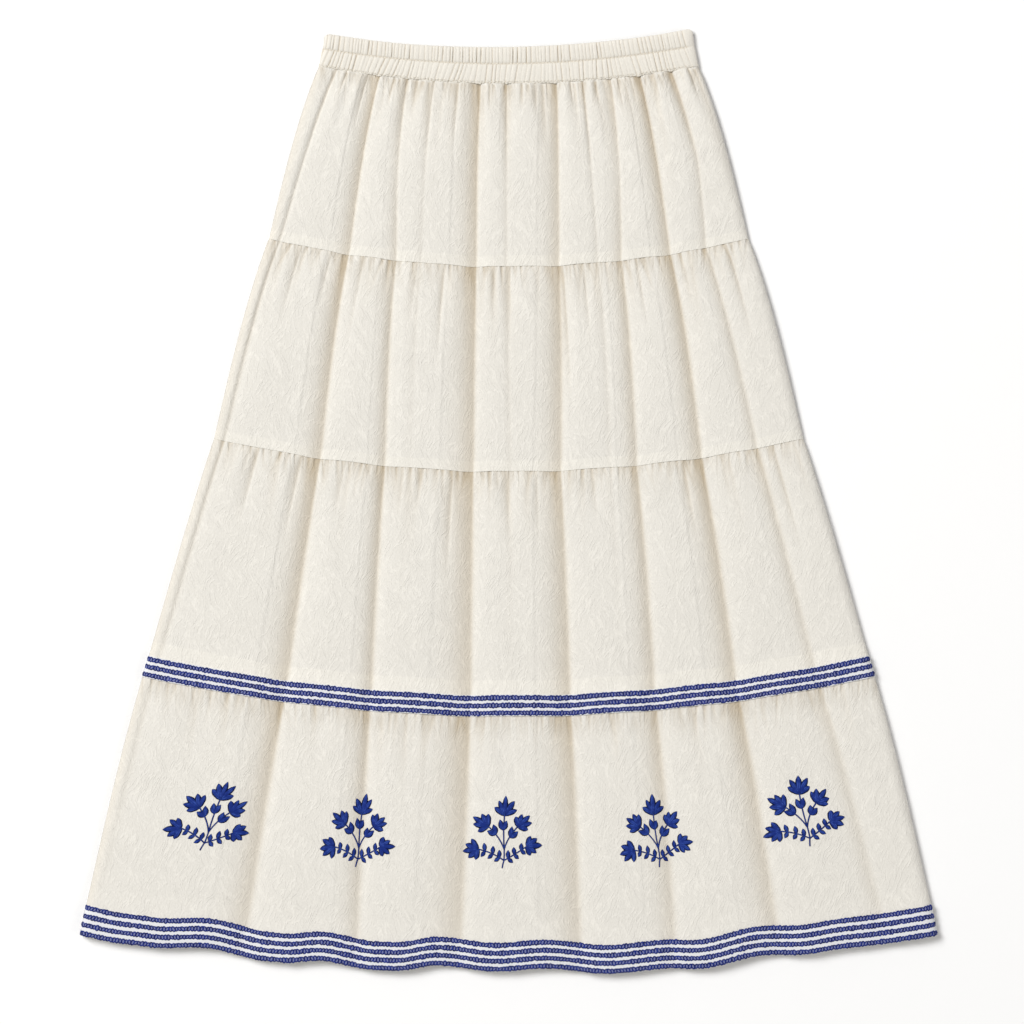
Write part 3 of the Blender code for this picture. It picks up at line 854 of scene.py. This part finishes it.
def cotton_material(name, colour, bands, crease):
    """Crinkled cotton with painted shade and a painted crease highlight. bands are (first, last) drops of its
    doubled seam allowances.
    """
    material, tree, shader = shader_of(name, 0.88, 0.10)
    uv = add(tree, "ShaderNodeUVMap", uv_map="Cloth").outputs["UV"]
    creped = add(tree, "ShaderNodeGroup", {"Vector": uv, "Crease": crease}, node_tree=CREPED)
    high = creped.outputs["Height"]
    tone = maths(tree, "MULTIPLY_ADD", creped.outputs["Tone"], THREAD_TONE, 1.0)
    # Painted highlight along the fine creases
    tone = maths(tree, "MULTIPLY_ADD", creped.outputs["Creases"], CREASE_HIGHLIGHT_TONE * crease, tone)
    # The painted shade kept on the piece's points
    painted_shade = add(tree, "ShaderNodeAttribute", attribute_name="PaintedShade").outputs["Fac"]
    shade = colour
    if bands:
        gather = add(tree, "ShaderNodeAttribute", attribute_name="Gather").outputs["Fac"]
        gathers = add(tree, "ShaderNodeGroup", {"Vector": uv, "Gather": gather}, node_tree=GATHERS)
        high = maths(tree, "ADD", high, gathers.outputs["Height"])
        # Painted shade along the gather lines, in the tone and in the kept shade
        tone = maths(tree, "MULTIPLY_ADD", gathers.outputs["Shade"], GATHER_SHADE_TONE, tone)
        painted_shade = maths(tree, "MULTIPLY_ADD", gathers.outputs["Shade"], GATHER_SHADE, painted_shade)
        down = uneven_drop(tree, uv, 30.0, 2.4)
        doubled = [maths(tree, "MULTIPLY", ramp(tree, down, first - 0.5, first + 0.9),
                         ramp(tree, down, last, last + 0.3, 1.0, 0.0)) for first, last in bands]
        shade = mix_colour(tree, strongest(tree, doubled), colour, IVORY_THICK)
    relief(tree, shader, high, 1.0, 1.0)
    wash = noise(tree, uv, 9.0, 2.0).outputs["Fac"]
    tone = maths(tree, "MULTIPLY", tone, ramp(tree, wash, 0.3, 0.7, 0.993, 1.004, "LINEAR"))
    # Painted shade: the colour goes towards the darker warm tint where the kept shade is high
    shade = mix_colour(tree, painted_shade, shade, tuple(c * f for c, f in zip(colour, PAINTED_SHADE_TINT)))
    toned = add(tree, "ShaderNodeVectorMath", {0: shade, "Scale": tone}, operation="SCALE")
    tree.links.new(toned.outputs[0], shader.inputs["Base Color"])
    return material


def tape_material():
    """White tape, blue under its rows of loops."""
    material, tree, shader = shader_of("White tape", 0.88, 0.0)
    uv = add(tree, "ShaderNodeUVMap", uv_map="Cloth").outputs["UV"]
    down = uneven_drop(tree, uv, 500.0, 1.0)
    near = []
    for centre in [drop for braid in BRAIDS for drop in row_centres(braid)]:
        away = maths(tree, "ABSOLUTE", maths(tree, "SUBTRACT", down, centre))
        near.append(ramp(tree, away, 1.4, 2.1, 1.0, 0.0))
    share = maths(tree, "MULTIPLY", strongest(tree, near), 0.78)
    tree.links.new(mix_colour(tree, share, TAPE_WHITE, UNDER_BLUE), shader.inputs["Base Color"])
    relief(tree, shader, noise(tree, scaled(tree, uv, 1.0, 0.5), 1300.0).outputs["Fac"], 1.0, 0.0002)
    return material


def thread_material(name, dark, light, scale, roughness, sheen):
    """Cotton thread whose tone wanders between two colours."""
    material, tree, shader = shader_of(name, roughness, sheen)
    share = ramp(tree, solid_noise(tree, scale, 3.0, 0.65), 0.35, 0.68)
    tree.links.new(mix_colour(tree, share, dark, light), shader.inputs["Base Color"])
    return material


def satin_material():
    """Blue embroidery thread laid side by side, with painted sheen in streaks along each petal and painted
    shade at its edges.
    """
    material, tree, shader = shader_of("Blue satin stitch", 0.60, 0.03, 0.10)
    uv = add(tree, "ShaderNodeUVMap", uv_map="Thread").outputs["UV"]
    side, along = add(tree, "ShaderNodeSeparateXYZ", {0: uv}).outputs[:2]
    patchy = solid_noise(tree, 260.0, 2.0)
    across_petal = maths(tree, "ADD", side, maths(tree, "MULTIPLY", patchy, 0.5))
    wave = maths(tree, "SINE", maths(tree, "MULTIPLY", across_petal, 11.0))
    painted_sheen = maths(tree, "MULTIPLY_ADD", wave, 0.5, 0.5)
    painted_sheen = maths(tree, "MULTIPLY", painted_sheen, ramp(tree, patchy, 0.40, 0.62))
    colour = mix_colour(tree, painted_sheen, SATIN_BLUE, SATIN_SHEEN)
    # Painted shade towards the edges of each petal, leaf and stem
    edge = ramp(tree, maths(tree, "ABSOLUTE", side), 0.38, 0.88)
    tree.links.new(mix_colour(tree, edge, colour, SATIN_EDGE_SHADE), shader.inputs["Base Color"])
    threads = maths(tree, "MULTIPLY_ADD", along, 6.0, maths(tree, "MULTIPLY", side, 14.0))
    relief(tree, shader, maths(tree, "SINE", threads), 0.5, 0.00012)
    return material


# Seam allowances, where the cotton is doubled
ALLOWANCE = 9.5
BRAID_ALLOWANCE = 13.0
SEAM_BANDS = [(ROW[name].drop - ALLOWANCE, ROW[name].drop) for name in ("seam 1", "seam 2")]
SEAM_BANDS.append((BRAIDS[0].top - BRAID_ALLOWANCE, BRAIDS[0].top))
cotton = cotton_material("Crinkled ivory cotton", IVORY, SEAM_BANDS, 1.0)
cotton_band = cotton_material("Gathered ivory cotton", IVORY_BAND, [], 0.3)
tape_cotton = tape_material()
blue_thread = thread_material("Blue cotton thread", NAVY, ROYAL, 420.0, 0.80, 0.04)
ivory_thread = thread_material("Ivory sewing thread", IVORY_THREAD, IVORY_THICK, 500.0, 0.7, 0.1)
satin = satin_material()


# Braids: a white tape with rows of blue loops. The gaps are over the cloth and over the tape.

TAPE = 0.45
TAPE_GAP = 0.35
LOOP_GAP = 0.15
TAPE_EDGE = 0.6
BACK_TAPE = 0.5
BACK_LOOPS = 0.28
BELOW_UPPER_BRAID = 600.0
LOOP_SIZES = {"Pitch": 2.75 * MM, "Length": 4.0 * MM, "Width": 5.5 * MM, "Thread": 1.2 * MM}
LOOP_DETAIL = {
    "front": {"Tilt": 0.16, "Segments": 9, "Sides": 4},
    "back": {"Tilt": 0.03, "Segments": 7, "Sides": 3},
}
TAPE_COLUMNS = {"front": 420, "back": BACK_COLUMNS}


def under_braid(u, drop):
    """The outer face of the cloth under a front braid."""
    upper = front_height(u, u, drop, TIERS[2])
    lower = front_height(u, u, drop, TIERS[3])
    return np.where(drop < BELOW_UPPER_BRAID, np.maximum(upper, lower), lower)


def build_tape(braid, side):
    third = (braid.bottom - braid.top) / 3
    drops = np.array([braid.top - 0.1, braid.top + 0.5, braid.top + 1.1, braid.top + third,
                      braid.bottom - third, braid.bottom - 1.1, braid.bottom - 0.5, braid.bottom + 0.1])
    _, u, drop = tier_grid(drops, TAPE_COLUMNS[side])
    height = np.full_like(u, BACK_TAPE)
    if side == "front":
        edge = np.minimum(np.abs(drop - braid.top), np.abs(drop - braid.bottom)) < TAPE_EDGE
        height = under_braid(u, drop) + TAPE_GAP - 0.15 * edge
    return shell(braid.name + "_" + side + "_tape", place(u, drop, height), cloth_uv(u, drop), TAPE, 1)


def path_mesh(name, lines):
    """Polylines as one mesh of edges. lines are arrays of points in metres."""
    edges = []
    start = 0
    for line in lines:
        edges += [(start + k, start + k + 1) for k in range(len(line) - 1)]
        start += len(line)
    mesh = bpy.data.meshes.new(name)
    mesh.from_pydata(np.concatenate(lines).tolist(), edges, [])
    return linked(name, mesh)


def build_loops(braid, side, material):
    u = np.linspace(-0.997, 0.997, 700)
    lines = []
    for drop in row_centres(braid):
        drops = np.full_like(u, drop)
        height = np.full_like(u, BACK_LOOPS)
        if side == "front":
            height = under_braid(u, drops) + TAPE_GAP + TAPE + LOOP_GAP
        lines.append(place(u, drops, height))
    piece = path_mesh(braid.name + "_" + side + "_loops", lines)
    return realized(piece, LOOP_ROWS, {**LOOP_SIZES, **LOOP_DETAIL[side]}, material)


def nodes_tree(name, inputs):
    """A new Geometry Nodes tree with Geometry in and out, its named inputs and a Material."""
    tree = bpy.data.node_groups.new(name, "GeometryNodeTree")
    for label, kind in [("Geometry", "Geometry")] + inputs + [("Material", "Material")]:
        tree.interface.new_socket(label, in_out="INPUT", socket_type="NodeSocket" + kind)
    tree.interface.new_socket("Geometry", in_out="OUTPUT", socket_type="NodeSocketGeometry")
    return tree, tree.nodes.new("NodeGroupInput").outputs, tree.nodes.new("NodeGroupOutput").inputs


def laid_points(tree, given):
    """Points at one pitch along the paths, turned so that X follows the path and Z points up."""
    curve = add(tree, "GeometryNodeMeshToCurve", {"Mesh": given["Geometry"]})
    even = add(tree, "GeometryNodeResampleCurve", {
        "Curve": curve.outputs[0], "Length": given["Pitch"]}, mode="LENGTH")
    tangent = add(tree, "GeometryNodeInputTangent")
    turned = add(tree, "FunctionNodeAlignRotationToVector", {"Vector": tangent.outputs[0]}, axis="X")
    upright = add(tree, "FunctionNodeAlignRotationToVector", {
        "Rotation": turned.outputs[0], "Vector": (0.0, 0.0, 1.0)}, axis="Z", pivot_axis="X")
    return even.outputs[0], upright.outputs[0]


def place_on(tree, points, rotation, shape):
    return add(tree, "GeometryNodeInstanceOnPoints", {
        0: points, "Instance": shape.outputs[0], "Rotation": rotation}).outputs[0]


def close_tree(tree, given, out, instances):
    made = add(tree, "GeometryNodeRealizeInstances", {0: instances})
    shaded = add(tree, "GeometryNodeSetShadeSmooth", {0: made.outputs[0]})
    painted = add(tree, "GeometryNodeSetMaterial", {0: shaded.outputs[0], "Material": given["Material"]})
    tree.links.new(painted.outputs[0], out["Geometry"])


def random_between(tree, low, high, seed):
    """A number from low to high for each instance."""
    node = add(tree, "FunctionNodeRandomValue", {"Seed": seed}, data_type="FLOAT")
    limits = [socket for socket in node.inputs if socket.type == "VALUE"]
    limits[0].default_value = low
    limits[1].default_value = high
    return next(socket for socket in node.outputs if socket.type == "VALUE")


def loop_tree():
    """Rows of small thread rings that overlap, tilted up and down by turns, each turned and sized a little."""
    sizes = [(label, "Float") for label in ("Pitch", "Length", "Width", "Thread", "Tilt")]
    tree, given, out = nodes_tree("Row of chain loops", sizes + [("Segments", "Int"), ("Sides", "Int")])
    points, rotation = laid_points(tree, given)
    core_long = maths(tree, "SUBTRACT", given["Length"], given["Thread"])
    core_wide = maths(tree, "SUBTRACT", given["Width"], given["Thread"])
    circle = add(tree, "GeometryNodeCurvePrimitiveCircle", {"Resolution": given["Segments"], "Radius": 0.5})
    oval = add(tree, "ShaderNodeCombineXYZ", {"X": core_long, "Y": core_wide, "Z": 1.0})
    sized = add(tree, "GeometryNodeTransform", {0: circle.outputs[0], "Scale": oval.outputs[0]})
    section = add(tree, "GeometryNodeCurvePrimitiveCircle", {
        "Resolution": given["Sides"], "Radius": maths(tree, "MULTIPLY", given["Thread"], 0.5)})
    ring = add(tree, "GeometryNodeCurveToMesh", {0: sized.outputs[0], 1: section.outputs[0]})
    placed = place_on(tree, points, rotation, ring)
    by_turns = maths(tree, "MODULO", add(tree, "GeometryNodeInputIndex").outputs[0], 2.0)
    up_or_down = maths(tree, "MULTIPLY_ADD", by_turns, 2.0, -1.0)
    tilt = maths(tree, "MULTIPLY", up_or_down, given["Tilt"])
    turns = add(tree, "ShaderNodeCombineXYZ", {"X": 0.0, "Y": tilt, "Z": random_between(tree, -0.8, 0.8, 7)})
    tilted = add(tree, "GeometryNodeRotateInstances", {0: placed, "Rotation": turns.outputs[0]})
    uneven = add(tree, "GeometryNodeScaleInstances", {
        0: tilted.outputs[0], "Scale": random_between(tree, 0.84, 1.08, 19)})
    close_tree(tree, given, out, uneven.outputs[0])
    return tree


def stitch_tree():
    """A row of short stitches across the path, each a small rounded bar."""
    sizes = [(label, "Float") for label in ("Pitch", "Length", "Width", "Height")]
    tree, given, out = nodes_tree("Row of stitches", sizes)
    points, rotation = laid_points(tree, given)
    bead = add(tree, "GeometryNodeMeshUVSphere", {"Segments": 6, "Rings": 4, "Radius": 0.5})
    shape = add(tree, "ShaderNodeCombineXYZ", {
        "X": given["Width"], "Y": given["Height"], "Z": given["Length"]})
    bar = add(tree, "GeometryNodeTransform", {0: bead.outputs[0], "Scale": shape.outputs[0]})
    laid = add(tree, "GeometryNodeTransform", {0: bar.outputs[0], "Rotation": (math.pi / 2, 0.0, math.pi / 2)})
    close_tree(tree, given, out, place_on(tree, points, rotation, laid))
    return tree


LOOP_ROWS = loop_tree()
STITCH_ROWS = stitch_tree()


def realized(piece, tree, sizes, material):
    """Runs a node tree on a piece and keeps the result as a plain mesh."""
    rows = piece.modifiers.new("Rows", "NODES")
    rows.node_group = tree
    named = {item.name: item.identifier for item in tree.interface.items_tree if item.in_out == "INPUT"}
    for label, value in sizes.items():
        rows[named[label]] = value
    rows[named["Material"]] = material
    bpy.context.view_layer.update()
    evaluated = piece.evaluated_get(bpy.context.evaluated_depsgraph_get())
    mesh = bpy.data.meshes.new_from_object(evaluated)
    mesh.name = piece.name
    piece.modifiers.clear()
    piece.data = mesh
    return piece


# Embroidered sprigs, in millimetres from the foot: x to the right and y up. Turns are in degrees from x.

Sprig = namedtuple("Sprig", "u drop wide lean seed")
SPRIGS = [
    Sprig(-0.758, 726.4, 1.05, 0.20, 3),
    Sprig(-0.376, 725.7, 0.94, 0.02, 5),
    Sprig(-0.015, 721.6, 1.00, 0.03, 8),
    Sprig(0.372, 725.7, 0.94, -0.04, 13),
    Sprig(0.744, 721.9, 1.05, -0.04, 21),
]
NODE_LOW = (1.0, 6.8)
NODE_HIGH = (0.9, 16.5)
Branch = namedtuple("Branch", "name points pairs turn")
BRANCHES = [
    Branch("foot", ((-0.3, 0.0), (0.1, 3.5), NODE_LOW), (), 0),
    Branch("main", (NODE_LOW, (1.3, 11.5), NODE_HIGH), (), 0),
    Branch("centre", (NODE_HIGH, (-0.6, 33.0), (0.3, 47.0)), (), 0),
    Branch("left", (NODE_HIGH, (-3.0, 27.5), (-15.5, 38.0)), (), 0),
    Branch("right", (NODE_HIGH, (3.6, 28.0), (14.0, 38.0)), (), 0),
    Branch("low left", (NODE_LOW, (-10.0, 14.5), (-23.5, 16.6)), (0.16, 0.42, 0.70), 1),
    Branch("low right", (NODE_LOW, (10.5, 12.0), (21.8, 19.6)), (0.16, 0.44, 0.72), -1),
]
Heart = namedtuple("Heart", "x y turn apart long")
HEARTS = [
    Heart(-0.7, 33.2, 89.0, 25.0, 9.8),
    Heart(-6.6, 29.5, 134.0, 31.0, 10.2),
    Heart(6.2, 26.5, 62.0, 27.0, 9.8),
]
Blossom = namedtuple("Blossom", "x y turn spread long")
BLOSSOMS = [
    Blossom(0.3, 46.8, 84.0, 112.0, 17.2),
    Blossom(-14.2, 36.8, 147.0, 112.0, 15.6),
    Blossom(13.0, 36.6, 45.0, 116.0, 14.4),
    Blossom(-22.4, 16.6, 192.0, 132.0, 14.8),
    Blossom(21.0, 19.4, 2.0, 132.0, 13.4),
]
PETALS = 5
PETAL_WIDE = 5.7
HEART_WIDE = 5.5
STEM_WIDE = 1.3
LEAF_LONG = (7.5, 7.2, 7.0)
UPPER_LEAF_WIDE = 4.2
LOWER_LEAF_WIDE = 4.0
# How wide a leaf or petal is at each part of its length
LEAF_TABLE = [(0.0, 0.10), (0.16, 0.62), (0.36, 0.95), (0.56, 1.0), (0.76, 0.70), (0.90, 0.34), (1.0, 0.05)]
PETAL_TABLE = [(0.0, 0.50), (0.20, 0.84), (0.42, 0.94), (0.60, 1.0), (0.78, 0.80), (0.92, 0.42), (1.0, 0.06)]


def bezier(points, parts):
    a, b, c = [np.array(p, float) for p in points]
    t = np.asarray(parts, float)[:, None]
    return a * (1 - t) ** 2 + 2 * b * t * (1 - t) + c * t ** 2


def satin_leaf(base, turn, long, wide, bend, lift, table):
    """A domed leaf or petal: rows of five points as (x, y, height), and for each point (side, along)."""
    turn = math.radians(turn)
    ahead = np.array([math.cos(turn), math.sin(turn)])
    aside = np.array([-ahead[1], ahead[0]])
    points = []
    uv = []
    for t, w in table:
        middle = np.array(base) + ahead * long * t + aside * bend * long * t * t
        for side in (-1.0, -0.55, 0.0, 0.55, 1.0):
            x, y = middle + aside * side * w * wide / 2
            high = lift + 0.62 * math.sqrt(1.0 - side * side) * min(1.0, 0.35 + 0.9 * w)
            points.append((x, y, high if abs(side) < 1.0 else 0.05))
            uv.append((side, t * long))
    return points, uv


def stem(path, wide):
    """A rounded cord along a path in the plane, in rows of points like a leaf's."""
    ahead = np.gradient(path, axis=0)
    ahead /= np.linalg.norm(ahead, axis=1)[:, None]
    aside = np.stack([-ahead[:, 1], ahead[:, 0]], 1)
    along = np.concatenate([[0.0], np.cumsum(np.linalg.norm(np.diff(path, axis=0), axis=1))])
    points = []
    uv = []
    for k, middle in enumerate(path):
        for side, high in ((-1.0, 0.05), (-0.6, 0.42), (0.0, 0.58), (0.6, 0.42), (1.0, 0.05)):
            x, y = middle + aside[k] * side * wide / 2
            points.append((x, y, high))
            uv.append((side, along[k]))
    return points, uv


def strip_faces(rows):
    """Faces of a closed strip of rows of five points: its top, its underside and its two ends."""
    faces = []
    for first in range(0, 5 * (rows - 1), 5):
        faces += [(a, a + 1, a + 6, a + 5) for a in range(first, first + 4)]
        faces.append((first, first + 5, first + 9, first + 4))
    end = 5 * (rows - 1)
    faces += [(0, 4, 3, 2), (0, 2, 1), (end, end + 1, end + 2, end + 4), (end + 2, end + 3, end + 4)]
    return faces


def sprig_shapes(sprig):
    """Every stem, leaf and petal of one sprig."""
    wander = random.Random(sprig.seed)
    shapes = []
    for branch in BRANCHES:
        shapes.append(stem(bezier(branch.points, np.linspace(0.0, 1.0, 9)), STEM_WIDE))
        for k, part in enumerate(branch.pairs):
            at, next_at = bezier(branch.points, [part, min(1.0, part + 0.05)])
            turn = math.degrees(math.atan2(next_at[1] - at[1], next_at[0] - at[0]))
            long = LEAF_LONG[k] * wander.uniform(0.9, 1.08)
            up = turn - 52.0 * branch.turn + wander.uniform(-6.0, 6.0)
            down = turn + 62.0 * branch.turn + wander.uniform(-6.0, 6.0)
            bend = 0.02 * branch.turn
            shapes.append(satin_leaf(at, up, long, UPPER_LEAF_WIDE, -5 * bend, 0.0, LEAF_TABLE))
            shapes.append(satin_leaf(at, down, 0.86 * long, LOWER_LEAF_WIDE, 4 * bend, 0.0, LEAF_TABLE))
    for heart in HEARTS:
        for side in (-1.0, 1.0):
            long = heart.long * wander.uniform(0.85, 1.05)
            turn = heart.turn + side * heart.apart
            start = (heart.x, heart.y)
            lift = 0.05 * (side > 0)
            shapes.append(satin_leaf(start, turn, long, HEART_WIDE, -0.10 * side, lift, LEAF_TABLE))
    middle = (PETALS - 1) / 2
    outer_first = sorted(range(PETALS), key=lambda k: -abs(k - middle))
    for blossom in BLOSSOMS:
        for layer, k in enumerate(outer_first):
            off = (k - middle) / middle
            turn = blossom.turn + off * blossom.spread / 2 + wander.uniform(-4.0, 4.0)
            long = blossom.long * (1.0 - 0.30 * abs(off) ** 1.2) * wander.uniform(0.90, 1.06)
            wide = PETAL_WIDE * wander.uniform(0.9, 1.08)
            start = (blossom.x, blossom.y)
            shapes.append(satin_leaf(start, turn, long, wide, 0.05 * off, 0.06 * layer, PETAL_TABLE))
    return shapes


def build_sprigs(side, material):
    points = []
    faces = []
    uv = []
    start = 0
    for sprig in SPRIGS:
        for shape, where in sprig_shapes(sprig):
            x, up, high = np.array(shape).T
            u = sprig.u + (x * sprig.wide + sprig.lean * up) / half_width(sprig.drop)
            drop = sprig.drop - up
            height = -0.04 - 0.4 * high
            if side == "front":
                height = front_height(u, u, drop, TIERS[3]) + 0.05 + high
            points.append(place(u, drop, height))
            faces += [tuple(start + k for k in face) for face in strip_faces(len(shape) // 5)]
            uv += where
            start += len(shape)
    if side == "back":
        faces = [face[::-1] for face in faces]
    mesh = bpy.data.meshes.new("sprigs_" + side)
    mesh.from_pydata(np.concatenate(points).tolist(), [], faces)
    shaped = bmesh.new()
    shaped.from_mesh(mesh)
    bmesh.ops.recalc_face_normals(shaped, faces=shaped.faces)
    shaped.to_mesh(mesh)
    shaped.free()
    index = np.zeros(len(mesh.loops), np.int32)
    mesh.loops.foreach_get("vertex_index", index)
    layer = mesh.uv_layers.new(name="Thread")
    layer.data.foreach_set("uv", np.array(uv, np.float32)[index].ravel())
    mesh.polygons.foreach_set("use_smooth", np.ones(len(mesh.polygons), bool))
    mesh.materials.append(material)
    return linked("sprigs_" + side, mesh)


# Sewing

STITCH_SIZES = {"Pitch": STITCH_PITCH * MM, "Length": 2.3 * MM, "Width": 0.75 * MM, "Height": 0.7 * MM}
STITCH_ROWS_AT = {
    "channel": ROW["channel line"].drop,
    "waist_upper": WAIST_STITCHES[0],
    "waist_lower": WAIST_STITCHES[1],
}


def stitch_line(name, row_drop):
    """A row of stitches over the waistband."""
    u = np.linspace(-0.98, 0.95, 1100)
    drops = np.full_like(u, row_drop)
    points = place(u, drops, band_face(u, drops)[0] + 0.25)
    points[..., 1] += band_pull(u, drops) * MM
    return realized(path_mesh("stitches_" + name, [points]), STITCH_ROWS, STITCH_SIZES, ivory_thread)


# The photograph's width, and where the skirt's middle and its waist's top edge are in it, in pixels of 0.88 mm
PHOTO = 1024
PHOTO_MIDDLE = 508.6
PHOTO_WAIST = 48.0
PIXEL = 0.88
VIEW_MM = PHOTO * PIXEL
MIDDLE_X = (PHOTO / 2 - PHOTO_MIDDLE) * PIXEL
MIDDLE_Y = WAIST_Y - (PHOTO / 2 - PHOTO_WAIST) * PIXEL

# Camera, light and floor, in metres
CAMERA_HEIGHT = 4.2
SKIRT_TOP = 0.008
SENSOR = 36.0
FLOOR_REACH = 6.0
FLOOR_Z = -0.0003
FLOOR_DARK = (0.955, 0.955, 0.955, 1.0)
FLOOR_LIGHT = (0.965, 0.965, 0.965, 1.0)


def build_stage():
    corners = [(FLOOR_REACH * x, FLOOR_REACH * y, FLOOR_Z) for x, y in ((-1, -1), (1, -1), (1, 1), (-1, 1))]
    floor = make_mesh("floor", corners, np.array([[0, 1, 2, 3]]))
    material, tree, shader = shader_of("Pale floor", 0.9, 0.0)
    tone = mix_colour(tree, solid_noise(tree, 40.0, 2.0), FLOOR_DARK, FLOOR_LIGHT)
    tree.links.new(tone, shader.inputs["Base Color"])
    floor.data.materials.append(material)


def add_area(name, place_at, size, power):
    """A square lamp that looks at the origin."""
    light = bpy.data.lights.new(name, "AREA")
    light.shape = "RECTANGLE"
    light.size = size
    light.size_y = size
    light.energy = power
    lamp = linked(name, light)
    lamp.location = place_at
    lamp.rotation_euler = Vector(place_at).to_track_quat("Z", "Y").to_euler()


def build_lights():
    world = bpy.data.worlds.new("Studio")
    world.use_nodes = True
    background = world.node_tree.nodes["Background"]
    background.inputs["Color"].default_value = (1.0, 0.98, 0.945, 1.0)
    background.inputs["Strength"].default_value = 0.33
    bpy.context.scene.world = world
    add_area("key", (-3.6, 2.4, 5.4), 3.0, 425.0)
    add_area("fill", (4.6, -1.4, 3.6), 3.4, 62.0)


def build_camera():
    data = bpy.data.cameras.new("Camera")
    data.sensor_fit = "HORIZONTAL"
    data.sensor_width = SENSOR
    data.lens = SENSOR * CAMERA_HEIGHT / (VIEW_MM * MM)
    data.clip_end = 50.0
    camera = linked("Camera", data)
    camera.location = (MIDDLE_X * MM, MIDDLE_Y * MM, CAMERA_HEIGHT + SKIRT_TOP)
    bpy.context.scene.camera = camera


# Putting it together. A cut is one half of a ring, the front or the back, in metres.

Cut = namedtuple("Cut", "width length")


def ride(piece):
    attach(piece, "root")
    return piece


def finish_sheet(piece, material, node):
    piece.data.materials.append(material)
    ride(piece)
    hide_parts(node)


def build_waistband():
    stitches = [ride(stitch_line(name, drop)) for name, drop in STITCH_ROWS_AT.items()]
    for piece, rests_on, carried in (
            (build_band_front(), "waistband_back", stitches), (build_band_back(), "floor", [])):
        node = piece.name.removesuffix("_cloth")
        finish_sheet(piece, cotton_band, node)


def build_tiers(side):
    build_tier = build_tier_front if side == "front" else build_tier_back
    sprigs = ride(build_sprigs(side, satin))
    for tier in TIERS:
        finish_sheet(build_tier(tier), cotton, tier.name + "_" + side)


def build_braid(braid, side):
    loops = ride(build_loops(braid, side, blue_thread))
    tape = build_tape(braid, side)
    finish_sheet(tape, tape_cotton, braid.name + "_" + side)


def main():
    bpy.context.scene.view_settings.view_transform = "Standard"
    build_stage()
    build_lights()
    build_camera()
    build_waistband()
    for side in ("front", "back"):
        build_tiers(side)
    for braid in BRAIDS:
        for side in ("front", "back"):
            build_braid(braid, side)


main()
